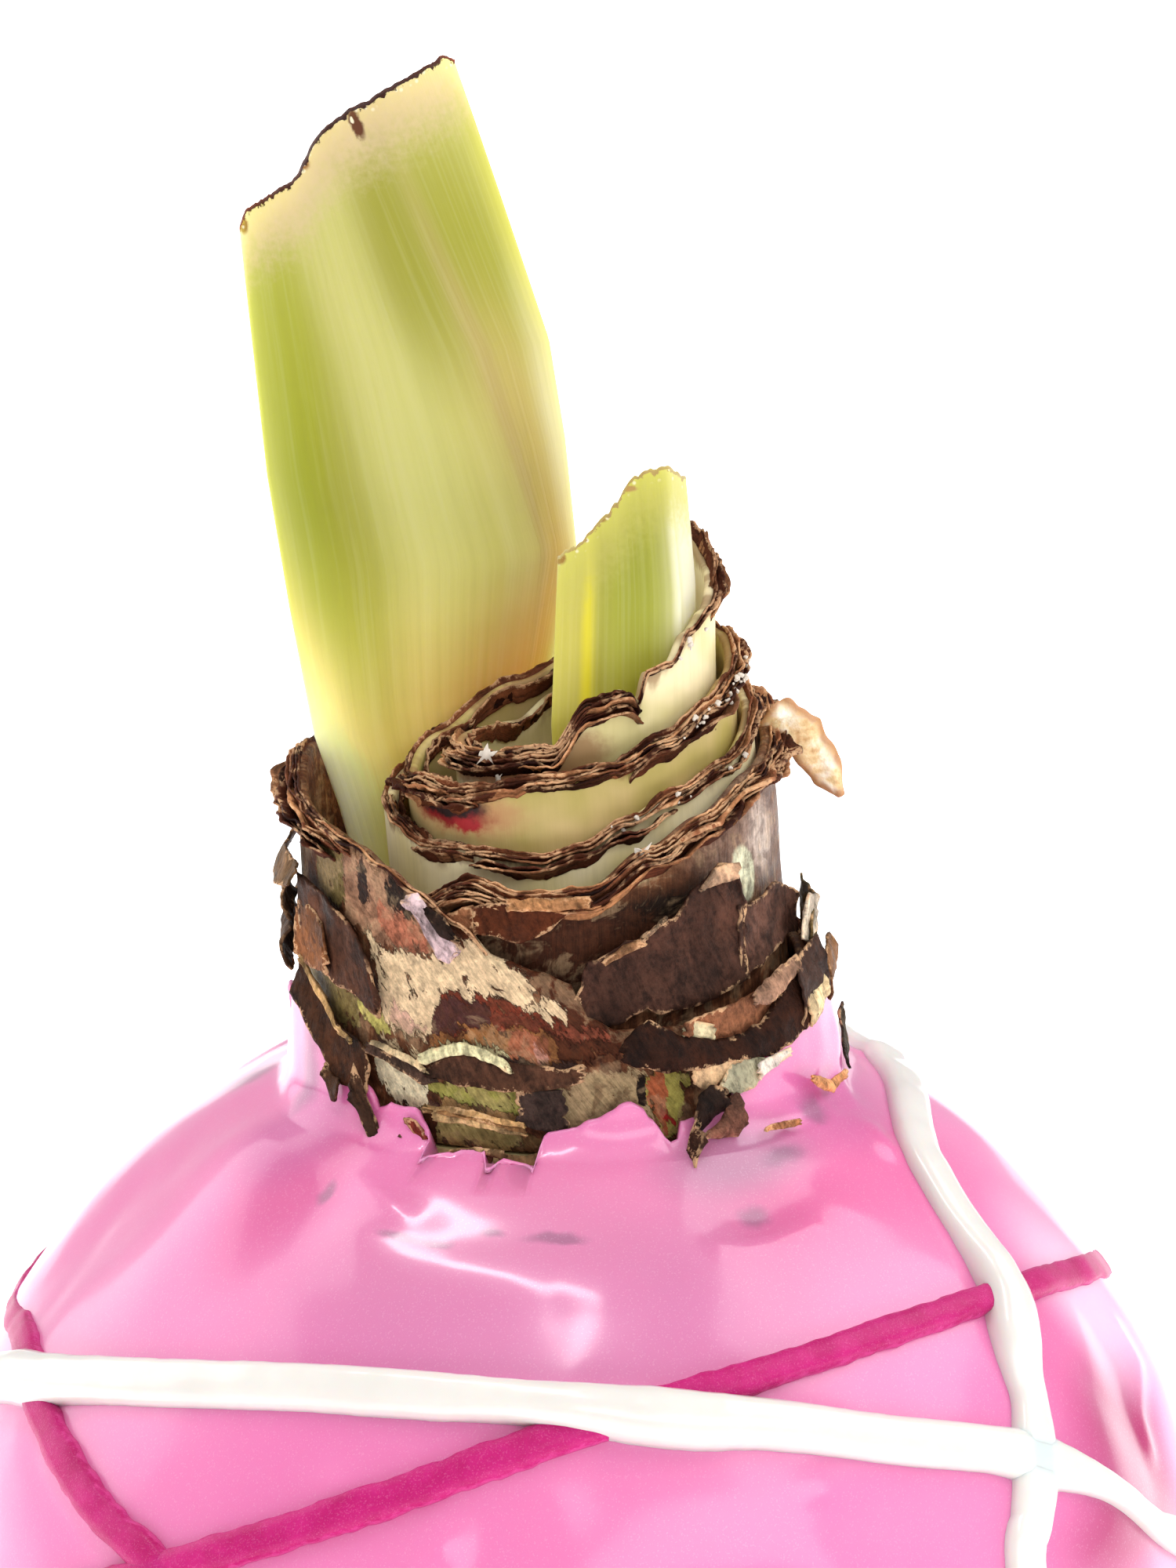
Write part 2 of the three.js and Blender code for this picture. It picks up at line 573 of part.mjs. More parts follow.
// Flakes of dry skin that lie on a scale: where they start and end round it, their lower and upper edges as
// [azimuth, height], how far each edge curls away, and how ragged they are
const FLAKES = {
  tunic_chip: {
    on: SCALE_4,
    from: -9,
    to: 9,
    low: [[-9, 102.2], [-4, 101.2], [4, 101], [9, 102.6]],
    high: [[-9, 103.8], [0, 104], [9, 104.4]],
    curl: [0.5, 0.9],
  },
  tunic_front: {
    on: SCALE_4,
    from: 8,
    to: 70,
    low: [[8, 97], [30, 96.8], [55, 97.2], [70, 97.8]],
    high: [[8, 98.6], [14, 100.6], [28, 102], [38, 104.2], [48, 105.6], [56, 102.6], [66, 104], [70, 100.5]],
    curl: [0.5, 0.7],
  },
  tunic_band: {
    on: OUTER_SCALE,
    from: 13,
    to: 63,
    low: [[13, 93.4], [25, 91.9], [45, 91.8], [54, 92], [63, 93]],
    high: [[13, 94.8], [30, 95], [50, 94.8], [63, 94.6]],
    curl: [1.5, 0.3],
  },
  tunic_hem: {
    on: OUTER_SCALE,
    from: -36,
    to: -2,
    low: [[-36, 89], [-20, 88], [-2, 89.2]],
    high: [[-36, 91], [-28, 93], [-12, 91.8], [-2, 91.6]],
    curl: [0.8, 0.4],
  },
  tunic_left: {
    on: OUTER_SCALE,
    from: -88,
    to: -52,
    low: [[-88, 95], [-72, 94], [-52, 90.6]],
    high: [[-88, 104.6], [-76, 106.4], [-64, 104.6], [-52, 100.4]],
    curl: [0.4, 0.4],
  },
  tunic_right: {
    on: OUTER_SCALE,
    from: 78,
    to: 108,
    low: [[78, 94.6], [92, 94.4], [108, 93.6]],
    high: [[78, 98.8], [90, 100.6], [98, 99], [108, 99.8]],
    curl: [0.2, 0.5],
  },
  tunic_back_right: {
    on: SCALE_4,
    from: 116,
    to: 168,
    low: [[116, 99], [140, 100.5], [168, 103.2]],
    high: [[116, 105.6], [130, 108], [150, 106.6], [168, 108.4]],
    curl: [0.6, 0.9],
  },
  tunic_back_left: {
    on: OUTER_SCALE,
    from: 176,
    to: 238,
    low: [[176, 93], [200, 91.8], [222, 92.6], [238, 94]],
    high: [[176, 98.6], [192, 101], [212, 99.4], [226, 103], [238, 101]],
    curl: [0.9, 0.8],
  },
};

const FLAKE_STEP = 3.5;

function flake({ on, from, to, low, high, curl }) {
  const columns = Math.round((to - from) / FLAKE_STEP);
  const [lowAt, highAt] = [along(low), along(high)];
  const ragged = [low, high].map(() => Array.from({ length: columns + 1 }, () => 0.9 * seededRandom()));
  const pointAt = (outside) => (share, rise) => {
    const column = Math.round(share * columns);
    const azimuth = lerp(from, to, share);
    const lowZ = lowAt(azimuth) + ragged[0][column];
    const highZ = Math.max(highAt(azimuth) - ragged[1][column], lowZ + 0.8);
    const away = curl[0] * (1 - rise) ** 3 + curl[1] * rise ** 3;
    return scalePoint(on, azimuth, lerp(lowZ, highZ, rise), GAP + away + outside);
  };
  return sheetBody(gridOf(4, columns, pointAt(FLAKE_THICKNESS)), gridOf(4, columns, pointAt(0)));
}

const tunic = new THREE.MeshStandardMaterial({ color: 0x553424, roughness: 0.8, metalness: 0 });
seededRandom(11);
for (const [name, shape] of Object.entries(FLAKES)) add(name, flake(shape), tunic.clone());

// A loose strip of dry skin that hangs away from the rim on the right
const LOOSE_STRIP = [[17.9, 0.6, 113], [19, 0.8, 112.9], [20.6, 1.4, 111.2], [21.8, 2, 109], [22.6, 2.2, 106.8]];
const LOOSE_HALF_WIDTHS = [1.2, 1.7, 1.9, 1.6, 0.9];

function looseStrip() {
  const route = LOOSE_STRIP.map(([right, back, z]) => neckPoint(right, back, z));
  const face = new THREE.Vector3(0.25, -1, 0.15).normalize();
  const pointAt = (behind) => (share, rise) => {
    const step = Math.round(rise * (route.length - 1));
    const next = route[Math.min(step + 1, route.length - 1)];
    const before = route[Math.max(step - 1, 0)];
    const across = next.clone().sub(before).cross(face).normalize();
    const side = (share * 2 - 1) * LOOSE_HALF_WIDTHS[step];
    const cupped = 0.5 * (1 - (share * 2 - 1) ** 2);
    const point = route[step].clone().addScaledVector(across, side);
    return point.addScaledVector(face, cupped - behind * FLAKE_THICKNESS);
  };
  return sheetBody(gridOf(4, 4, pointAt(0)), gridOf(4, 4, pointAt(1)));
}

const straw = new THREE.MeshStandardMaterial({ color: 0xcdb084, roughness: 0.8, metalness: 0 });
add("loose_strip", looseStrip(), straw);

export default bulb;
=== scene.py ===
from functools import lru_cache
from math import asin, atan2, cos, degrees, exp, hypot, pi, radians, sin, sqrt, tan
import random

import bpy
from mathutils import Euler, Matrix, Quaternion, Vector, noise


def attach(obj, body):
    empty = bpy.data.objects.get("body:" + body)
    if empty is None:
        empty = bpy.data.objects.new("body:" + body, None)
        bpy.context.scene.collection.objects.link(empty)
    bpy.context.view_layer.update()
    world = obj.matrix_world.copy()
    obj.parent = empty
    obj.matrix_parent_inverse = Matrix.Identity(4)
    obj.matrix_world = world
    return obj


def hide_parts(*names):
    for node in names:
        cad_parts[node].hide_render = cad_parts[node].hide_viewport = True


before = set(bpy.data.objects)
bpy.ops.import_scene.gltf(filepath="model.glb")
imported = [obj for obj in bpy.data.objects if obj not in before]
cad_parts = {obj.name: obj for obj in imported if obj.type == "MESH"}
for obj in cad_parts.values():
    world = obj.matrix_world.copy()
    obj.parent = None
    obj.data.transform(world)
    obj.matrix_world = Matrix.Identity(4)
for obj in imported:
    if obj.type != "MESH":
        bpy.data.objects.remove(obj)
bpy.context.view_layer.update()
bpy.ops.object.select_all(action="DESELECT")
MM = 0.001

# ---- Camera and studio ------------------------------------------------------------------------------------
# The bulb stands on a white sweep, seen from a little above. Soft boxes light it from the left, from above
# the right and, narrower, from the front. A small bright one overhead gives the glint on the shoulder.
# Places and sizes here are in metres, but for the lens and the film.
CAMERA_PLACE = (0.0015, -0.4111, 0.225)
CAMERA_PITCH = 15.83
CAMERA_LENS = 134.7
CAMERA_NEAR = 0.01
FILM_HEIGHT = 36
SWEEP_SIZE = 12
AIM = Vector((0, 0, 0.06))
SOFT_BOXES = {  # place, width and height, turn about its own axis in degrees, power in watts
    "left_box": ((-0.628, 0.293, 0.445), (0.75, 0.7), 0, 2.95),
    "right_box": ((0.531, 0.066, 0.639), (0.6, 0.55), 0, 3.0),
    "front_box": ((0.3, -0.564, 0.527), (0.75, 0.2), 0, 1.65),
    "glint_box": ((-0.12, -0.045, 0.83), (0.04, 0.6), -80, 1.8),
}
SKY = 0.56
WHITE = (1, 1, 1, 1)
PAPER = {
    "Base Color": (0.92, 0.92, 0.92, 1), "Roughness": 0.9, "Specular IOR Level": 0, "Emission Color": WHITE,
    "Emission Strength": 1.1,
}


def tone(colour):
    """Linear red, green, blue and alpha of a screen colour written as 0xRRGGBB."""
    parts = [(colour >> shift & 255) / 255 for shift in (16, 8, 0)]
    return [*(part / 12.92 if part <= 0.04045 else ((part + 0.055) / 1.055) ** 2.4 for part in parts), 1]


def node(tree, kind, inputs=None, **settings):
    """Adds a shader node. Each input is given a value, or the socket that feeds it."""
    made = tree.nodes.new(kind)
    for name, value in settings.items():
        setattr(made, name, value)
    for name, value in (inputs or {}).items():
        if isinstance(value, bpy.types.NodeSocket):
            tree.links.new(value, made.inputs[name])
        else:
            made.inputs[name].default_value = value
    return made


bpy.ops.object.camera_add(location=CAMERA_PLACE, rotation=(radians(90 - CAMERA_PITCH), 0, 0))
camera = bpy.context.object
camera.name = "camera"
camera.data.sensor_fit = "VERTICAL"
camera.data.sensor_height = FILM_HEIGHT
camera.data.lens = CAMERA_LENS
camera.data.clip_start = CAMERA_NEAR
bpy.context.scene.camera = camera

bpy.ops.mesh.primitive_plane_add(size=SWEEP_SIZE)
sweep = bpy.context.object
sweep.name = "sweep"
paper = bpy.data.materials.new("white_paper")
paper.use_nodes = True
for setting, value in PAPER.items():
    paper.node_tree.nodes["Principled BSDF"].inputs[setting].default_value = value
sweep.data.materials.append(paper)

for name, (place, (width, height), turn, power) in SOFT_BOXES.items():
    aimed = (AIM - Vector(place)).to_track_quat("-Z", "Y") @ Quaternion((0, 0, 1), radians(turn))
    bpy.ops.object.light_add(type="AREA", location=place, rotation=aimed.to_euler())
    box = bpy.context.object
    box.name = name
    box.data.shape = "RECTANGLE"
    box.data.size = width
    box.data.size_y = height
    box.data.energy = power

studio = bpy.data.worlds.new("studio")
bpy.context.scene.world = studio
studio.use_nodes = True
sky = studio.node_tree
sky.nodes["Background"].inputs["Color"].default_value = WHITE
sky.nodes["Background"].inputs["Strength"].default_value = SKY
seen_sky = node(sky, "ShaderNodeBackground", {"Color": WHITE, "Strength": 1})
sky_mix = node(sky, "ShaderNodeMixShader", {
    0: node(sky, "ShaderNodeLightPath").outputs["Is Camera Ray"],
    1: sky.nodes["Background"].outputs[0],
    2: seen_sky.outputs[0],
})
sky.links.new(sky_mix.outputs[0], sky.nodes["World Output"].inputs["Surface"])
bpy.context.scene.view_settings.view_transform = "Standard"

# ---- Bulb inside the wax ----------------------------------------------------------------------------------
# The fleshy bulb fills the coat and reaches up into the neck as a core that carries the inner scales and the
# leaves. Only the top of that core can be seen, down between the scales.


def ramp(tree, factor, stops):
    """A colour that follows a factor, from [place, 0xRRGGBB] stops."""
    made = node(tree, "ShaderNodeValToRGB", {"Fac": factor})
    elements = made.color_ramp.elements
    elements[0].position, elements[1].position = stops[0][0], stops[-1][0]
    elements[0].color, elements[1].color = tone(stops[0][1]), tone(stops[-1][1])
    for place, colour in stops[1:-1]:
        elements.new(place).color = tone(colour)
    return made.outputs["Color"]


def span(tree, value, low, high, to_low=0.0, to_high=1.0):
    """Maps a value from one range to another, with a soft start and end."""
    made = node(tree, "ShaderNodeMapRange", {
        "Value": value, "From Min": low, "From Max": high, "To Min": to_low, "To Max": to_high,
    }, interpolation_type="SMOOTHSTEP")
    return made.outputs["Result"]


def sums(tree, operation, first, second):
    """A sum of two numbers, each a value or a socket."""
    made = node(tree, "ShaderNodeMath", {0: first, 1: second}, operation=operation)
    return made.outputs["Value"]


def blend(tree, factor, under, over):
    """One colour laid over another. A colour is a socket or 0xRRGGBB."""
    colours = [tone(colour) if isinstance(colour, int) else colour for colour in (under, over)]
    made = node(tree, "ShaderNodeMix", {0: factor, 6: colours[0], 7: colours[1]}, data_type="RGBA")
    return made.outputs[2]


def clouds(tree, point, size, detail=3.0, roughness=0.55, warp=0.0):
    """Soft noise with lumps of about that size, in the units of the point."""
    made = node(tree, "ShaderNodeTexNoise", {
        "Vector": point, "Scale": 1 / size, "Detail": detail, "Roughness": roughness, "Distortion": warp,
    })
    return made.outputs["Fac"]


def finish(name, colour=None, **settings):
    """A material with one Principled shader, whose plain settings are given by name."""
    made = bpy.data.materials.new(name)
    made.use_nodes = True
    shader = made.node_tree.nodes["Principled BSDF"]
    for setting, value in settings.items():
        shader.inputs[setting.replace("_", " ")].default_value = value
    if colour is not None:
        shader.inputs["Base Color"].default_value = tone(colour)
    return made, made.node_tree, shader


def rough_up(tree, shader, height, depth):
    """Raises the surface by the height, which goes from 0 to 1, to a depth in millimetres."""
    bump = node(tree, "ShaderNodeBump", {"Height": height, "Strength": 1.0, "Distance": depth * MM})
    tree.links.new(bump.outputs["Normal"], shader.inputs["Normal"])


def place_of(tree):
    """The place on the piece, in millimetres."""
    here = node(tree, "ShaderNodeTexCoord").outputs["Object"]
    made = node(tree, "ShaderNodeVectorMath", {0: here, "Scale": 1 / MM}, operation="SCALE")
    return made.outputs["Vector"]


flesh, tree, shader = finish("bulb_flesh", Roughness=0.55)
mottle = clouds(tree, place_of(tree), 1.8)
tree.links.new(ramp(tree, mottle, [(0.3, 0x8F7A45), (0.7, 0xD9CB92)]), shader.inputs["Base Color"])
rough_up(tree, shader, mottle, 0.3)
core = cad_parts["bulb_body"]
core.data.materials.clear()
core.data.materials.append(flesh)

# ---- Pink wax coat ----------------------------------------------------------------------------------------
# A thick skin of pink pearly wax that the bulb was dipped in. It follows the ribs and dents of the dry skin
# under it, climbs the neck as a thin torn collar, and is flat at the foot where it was stood to set.
BODY_RADIUS = 49
BODY_Z = 42
BASE_DEPTH = 46
WAX_WALL = 2.2
FLOOR_WALL = 2.5
COLLAR_ACROSS, COLLAR_DEEP = 20.4, 19.1
COLLAR_WALL = 1
COLLAR_THINNING = 0.4
COLLAR_FILLET = 3
COLLAR_RELIEF, COLLAR_WAVE = 0.8, 0.15
COAT_SIDES = 400
FOOT_BLEND = 20  # degrees of elevation over which the relief grows, from none at the foot
LIP_WIDTH, LIP_HEIGHT = 0.6, 0.3
BORE_FOOT_Z = 82.5
INSIDE_TOP, INSIDE_FOOT = 62, -46  # elevation
SHOULDER_Z = 86
NECK_LEAN = 5
LUMP_END, RIDGE_END = 2.6, 5  # where a lump is too low to count, in reaches, and a ridge, in degrees
RIPPLES = [(0.16, 5), (0.05, 13)]  # height and closeness
TEARS = [(0.8, 0.12), (0.5, 0.45), (0.35, 1.6), (0.2, 5)]  # the same for the waves of a torn edge
BITE_SCALE, BITE_FROM, BITE_DEPTH = 0.4, 0.22, 2.2  # bits that are missing from a torn edge
TORN_RADIUS = 18

LUMPS = [  # azimuth, elevation from the middle of the body, reach across, reach up and down, height
    (-55, 50, 8, 12, 0.9), (-81, 46, 7, 12, -0.7), (-43, 55, 6, 9, -0.6), (36, 59, 9, 6, -0.6),
    (83, 32, 6, 11, 0.8), (73, 27, 5, 10, -0.7), (61, 27, 5, 9, 0.6), (-25, 33, 9, 6, -0.5),
    (-6, 31, 7, 5, -0.5), (29, 31, 9, 6, -0.4), (12, -12, 16, 12, 0.6), (-48, -8, 12, 18, -0.6),
    (112, 6, 12, 16, -0.6), (140, 40, 9, 14, 0.8), (166, 24, 8, 13, -0.6), (201, 47, 9, 10, 0.7),
    (211, 8, 12, 17, 0.6), (240, 35, 10, 12, -0.6), (262, -18, 14, 12, 0.5),
    # small swellings and dimples
    (-32, 55, 3, 2.4, 0.35), (-15, 56.5, 6, 2.2, -0.08), (1, 57, 4, 2, -0.06), (32, 58, 4, 2.5, -0.4),
    (-12, 30, 2.2, 3, 0.6), (-22, 34, 2.6, 2, 0.5), (27, 33, 4, 1.6, 0.22), (18, 50, 7, 5, 0.25),
    (46, 56, 4, 3, 0.3), (38, 50, 5, 4, -0.2), (70, 36, 3, 5, 0.3), (-66, 60, 5, 6, 0.5),
    (95, 52, 7, 5, 0.4),
]
RIDGES = [  # reach in degrees, height, then [azimuth, elevation] along the fold
    (1.5, 0.45, [(-83, 66), (-69, 65), (-57, 64.4), (-45, 62.5), (-36, 60), (-28, 58.4)]),
    (3, 0.25, [(-27, 52.6), (-15, 52.2), (-8, 52.8), (-2, 53.6), (5, 53)]),
    (1.1, 0.38, [(20, 64.2), (29, 63.8), (40, 63.2), (53, 62.8), (65, 63.4)]),
    (0.8, 0.22, [(22, 55.2), (27, 54.8), (34, 55.4), (39, 55.6)]),
    (1.3, 0.4, [(82, 67), (76, 65), (70, 62.5), (66, 59)]),
    (1.2, 0.35, [(78, 34), (78, 30), (74, 27), (73, 24)]),
    (1.4, 0.3, [(120, 66), (112, 62), (108, 56)]),
    (1.3, 0.35, [(160, 65), (170, 61), (184, 59), (200, 60)]),
    (1.4, 0.35, [(228, 66), (236, 61), (240, 54)]),
]
WAX_EDGE_KEYS = [  # azimuth and height of the torn edge on the neck
    (-79, 92.2), (-76, 93.8), (-73, 94), (-66, 93.2), (-62.5, 92.3), (-58.5, 91.2), (-55.5, 90.3),
    (-51.5, 89.4), (-47, 89.5), (-45.5, 89.3), (-44.3, 88), (-42.5, 88.2), (-40.5, 88.8), (-34, 88.7),
    (-31.3, 87.7), (-30, 87), (-29, 85.9), (-26, 86.2), (-17.5, 86.7), (-15.5, 86), (-12, 86.3), (-6, 86.2),
    (-5, 87.6), (-4, 88), (1.5, 88.1), (6, 88.7), (15, 89.8), (17.5, 89.4), (19.5, 88.4), (22.5, 86.8),
    (24.5, 86.9), (26, 88), (30, 88.2), (38.5, 88.6), (40.5, 89.6), (42, 90.2), (45, 90.6), (49, 91.2),
    (55, 92.3), (64.5, 93.3), (72, 94.6), (76, 95.4), (82, 95.2), (90, 94.4), (104, 93), (130, 90.6),
    (160, 88.8), (186, 90.2), (214, 88.6), (245, 90.4), (272, 93),
]


def smooth(share):
    """Rises from 0 to 1 with a soft start and end."""
    share = min(1, max(0, share))
    return share * share * (3 - 2 * share)


def off_azimuth(azimuth, other):
    """Degrees from the other azimuth, from -180 to 180."""
    return (azimuth - other + 180) % 360 - 180


def around(keys):
    """A value that changes smoothly round the bulb, from [azimuth, value] pairs in rising azimuth."""
    @lru_cache(maxsize=None)
    def value_at(azimuth):
        at = (azimuth - keys[0][0]) % 360 + keys[0][0]
        following = [*keys[1:], (keys[0][0] + 360, keys[0][1])]
        for (from_at, low), (to_at, high) in zip(keys, following):
            if at <= to_at:
                return low + (high - low) * smooth((at - from_at) / (to_at - from_at))
        return keys[0][1]
    return value_at


def towards(azimuth, elevation):
    turn, across = radians(azimuth), cos(radians(elevation))
    return Vector((sin(turn) * across, -cos(turn) * across, sin(radians(elevation))))


def off_ridge(azimuth, elevation, route):
    """Distance in degrees of great circle from the nearest point of a ridge."""
    gaps = []
    for (from_az, from_el), (to_az, to_el) in zip(route, route[1:]):
        shrink = cos(radians((from_el + to_el) / 2))
        run = Vector(((to_az - from_az) * shrink, to_el - from_el))
        here = Vector((off_azimuth(azimuth, from_az) * shrink, elevation - from_el))
        share = min(1, max(0, here.dot(run) / run.dot(run)))
        gaps.append((here - run * share).length)
    return min(gaps)


@lru_cache(maxsize=None)
def lump(azimuth, elevation):
    """How far the wax stands off the plain egg."""
    height = 0
    for at_azimuth, at_elevation, across, up, rise in LUMPS:
        sideways = off_azimuth(azimuth, at_azimuth) * cos(radians(at_elevation)) / across
        upwards = (elevation - at_elevation) / up
        if max(abs(sideways), abs(upwards)) < LUMP_END:
            height += rise * exp(-sideways ** 2 - upwards ** 2)
    for width, rise, route in RIDGES:
        heights = [height_at for _, height_at in route]
        if min(heights) - RIDGE_END < elevation < max(heights) + RIDGE_END:
            height += rise * exp(-(off_ridge(azimuth, elevation, route) / width) ** 2)
    heading = towards(azimuth, elevation)
    for rise, scale in RIPPLES:
        height += rise * noise.noise(heading * scale)
    return height


def reach(elevation, inset=0):
    """The radius of the plain egg."""
    across = BODY_RADIUS - inset
    down = (BASE_DEPTH if elevation < 0 else BODY_RADIUS) - inset
    return 1 / hypot(cos(radians(elevation)) / across, sin(radians(elevation)) / down)


def egg_point(azimuth, elevation, lift):
    return towards(azimuth, elevation) * (reach(elevation) + lift) + Vector((0, 0, BODY_Z))


def floor_elevation(inset, height):
    """Where the egg, so much smaller, crosses a height below its middle."""
    drop = height - BODY_Z
    radius = (BODY_RADIUS - inset) * sqrt(1 - (drop / (BASE_DEPTH - inset)) ** 2)
    return degrees(atan2(drop, radius))


def lean(z):
    """How far along x the lean of the neck moves it at a height. It leans to the left."""
    return -tan(radians(NECK_LEAN)) * max(0, z - SHOULDER_Z)


def torn(azimuth, seed, amount):
    """Raggedness of a torn edge round the neck, with bits missing, the same on both sides of the seam."""
    turn = radians(azimuth)
    here = Vector((sin(turn) * TORN_RADIUS, cos(turn) * TORN_RADIUS, seed * 7.3))
    wave = sum(height * noise.noise(here * scale) for height, scale in TEARS)
    missing = max(0, noise.noise(here * BITE_SCALE + Vector((9, 4, 2))) - BITE_FROM)
    return amount * (wave - BITE_DEPTH * missing)


wax_edge_line = around(WAX_EDGE_KEYS)


@lru_cache(maxsize=None)
def wax_edge(azimuth):
    return wax_edge_line(azimuth) + torn(azimuth, seed=3, amount=0.3)


def collar_point(azimuth, share):
    """The hollow curve from the shoulder of the coat (0) up to the torn edge (1)."""
    turn = radians(azimuth)
    collar = 1 / hypot(sin(turn) / COLLAR_ACROSS, cos(turn) / COLLAR_DEEP)
    bend_r = collar + COLLAR_FILLET
    bend_z = BODY_Z + sqrt((BODY_RADIUS + COLLAR_FILLET) ** 2 - bend_r ** 2)
    start_z = BODY_Z + (bend_z - BODY_Z) * BODY_RADIUS / (BODY_RADIUS + COLLAR_FILLET)
    z = start_z + (wax_edge(azimuth) - start_z) * share
    bend = sqrt(max(0, COLLAR_FILLET ** 2 - (z - bend_z) ** 2))
    radius = (bend_r - bend if z < bend_z else collar) - COLLAR_THINNING * share
    elevation = degrees(atan2(z - BODY_Z, radius))
    wave = COLLAR_WAVE * noise.noise(Vector((azimuth / 9, z / 4, 0)))
    radius += lump(azimuth, elevation) * (1 - share) ** 0.5 * COLLAR_RELIEF + wave
    return Vector((radius * sin(turn) + lean(z), -radius * cos(turn), z))


def bent_grid(name, columns, rows, place, grain=None):
    """A grid primitive moved point by point to place(across, up), where both go from 0 to 1. The attribute
    grain holds what grain(across, up) gives: a place along the fibres, in millimetres."""
    bpy.ops.mesh.primitive_grid_add(x_subdivisions=columns, y_subdivisions=rows, size=1)
    piece = bpy.context.object
    piece.name = piece.data.name = name
    shares = [(round((v.co.x + 0.5) * columns) / columns, round((v.co.y + 0.5) * rows) / rows)
              for v in piece.data.vertices]
    for vertex, (across, up) in zip(piece.data.vertices, shares):
        vertex.co = place(across, up) * MM
    if grain:
        marks = piece.data.attributes.new("grain", "FLOAT_VECTOR", "POINT").data
        for mark, (across, up) in zip(marks, shares):
            mark.vector = grain(across, up)
    return piece


SEAM_GAP = 1e-6


def close_seams(piece):
    """Merges the points that meet, and turns the faces outwards."""
    bpy.ops.object.mode_set(mode="EDIT")
    bpy.ops.mesh.select_all(action="SELECT")
    bpy.ops.mesh.remove_doubles(threshold=SEAM_GAP)
    bpy.ops.mesh.normals_make_consistent(inside=False)
    bpy.ops.object.mode_set(mode="OBJECT")
    return piece


def fit(piece, material, slot, *nodes):
    """Gives a piece its material and smooth shading, hangs it under the root, and hides the model's parts
    that it stands for.
    """
    if material:
        piece.data.materials.append(material)
    bpy.ops.object.shade_smooth()
    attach(piece, "root")
    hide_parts(*nodes)
    return piece


FOOT = floor_elevation(0, 0)
EGG_TOP = 61
FOOT_ROWS, EGG_ROWS, COLLAR_ROWS, LIP_ROWS, BORE_ROWS, INSIDE_ROWS, FLOOR_ROWS = 3, 150, 34, 4, 4, 16, 2
coat_rows = [("foot", step / FOOT_ROWS) for step in range(FOOT_ROWS + 1)]
coat_rows += [("egg", FOOT + (EGG_TOP - FOOT) * step / EGG_ROWS) for step in range(1, EGG_ROWS + 1)]
coat_rows += [("collar", step / COLLAR_ROWS) for step in range(COLLAR_ROWS + 1)]
coat_rows += [("lip", step / LIP_ROWS) for step in range(1, LIP_ROWS + 1)]
coat_rows += [("bore", step / BORE_ROWS) for step in range(1, BORE_ROWS + 1)]
coat_rows += [("inside", INSIDE_TOP + (INSIDE_FOOT - INSIDE_TOP) * step / INSIDE_ROWS)
              for step in range(INSIDE_ROWS + 1)]
coat_rows += [("floor", 1 - step / FLOOR_ROWS) for step in range(FLOOR_ROWS + 1)]


def coat_point(across, up):
    """A point of the shell: up its outside, over the lip, and down inside it to the middle of its floor."""
    azimuth = -180 + 360 * across
    turn = radians(azimuth)
    kind, at = coat_rows[round(up * (len(coat_rows) - 1))]
    if kind == "foot":
        return Vector((0, 0, 0)).lerp(egg_point(azimuth, FOOT, 0), at)
    if kind == "egg":
        return egg_point(azimuth, at, lump(azimuth, at) * smooth((at - FOOT) / FOOT_BLEND))
    if kind == "collar":
        return collar_point(azimuth, at)
    edge = collar_point(azimuth, 1)
    outwards = Vector((sin(turn), -cos(turn), 0))
    if kind == "lip":
        return edge - outwards * LIP_WIDTH * at + Vector((0, 0, LIP_HEIGHT * sin(pi * at)))
    if kind == "bore":
        z = edge.z + (BORE_FOOT_Z - edge.z) * at
        wall = hypot(COLLAR_ACROSS * sin(turn), COLLAR_DEEP * cos(turn)) - COLLAR_WALL
        return Vector((wall * sin(turn) + lean(z), -wall * cos(turn), z))
    if kind == "inside":
        return towards(azimuth, at) * reach(at, WAX_WALL) + Vector((0, 0, BODY_Z))
    low = floor_elevation(WAX_WALL, FLOOR_WALL)
    rim = towards(azimuth, low) * reach(low, WAX_WALL) + Vector((0, 0, BODY_Z))
    return Vector((rim.x * at, rim.y * at, FLOOR_WALL))


def node_group(name, inputs, output):
    """A node group that several finishes share. Its inputs are vectors or numbers, its output a number."""
    group = bpy.data.node_groups.new(name, "ShaderNodeTree")
    for socket, kind in inputs.items():
        group.interface.new_socket(socket, in_out="INPUT", socket_type=f"NodeSocket{kind}")
    group.interface.new_socket(output, in_out="OUTPUT", socket_type="NodeSocketFloat")
    return group, node(group, "NodeGroupInput").outputs


patch_group, given = node_group("torn_patch", {
    "Point": "Vector", "Centre": "Vector", "Turn": "Vector", "Size": "Vector",
    "Inner": "Float", "Outer": "Float",
}, "Mask")
mapped = node(patch_group, "ShaderNodeMapping", {
    "Vector": given["Point"], "Location": given["Centre"], "Rotation": given["Turn"], "Scale": given["Size"],
}, vector_type="TEXTURE")
off = node(patch_group, "ShaderNodeVectorMath", {0: mapped.outputs["Vector"]}, operation="LENGTH")
node(patch_group, "NodeGroupOutput", {
    "Mask": span(patch_group, off.outputs["Value"], given["Inner"], given["Outer"], 1.0, 0.0)})


def torn_patch(tree, point, centre, turn, size, edge):
    """A mask that is 1 inside an ellipsoid about a centre. The edge is soft over that share of its size."""
    return node(tree, "ShaderNodeGroup", {
        "Point": point, "Centre": tuple(centre), "Turn": tuple(turn), "Size": size,
        "Inner": 1 - edge, "Outer": 1 + edge,
    }, node_tree=patch_group).outputs["Mask"]


def wax_patch(tree, point, azimuth, elevation, size, edge):
    """A mask that lies flat on the coat."""
    turn = (-radians(elevation), 0, radians(azimuth))
    return torn_patch(tree, point, egg_point(azimuth, elevation, 0), turn, size, edge)


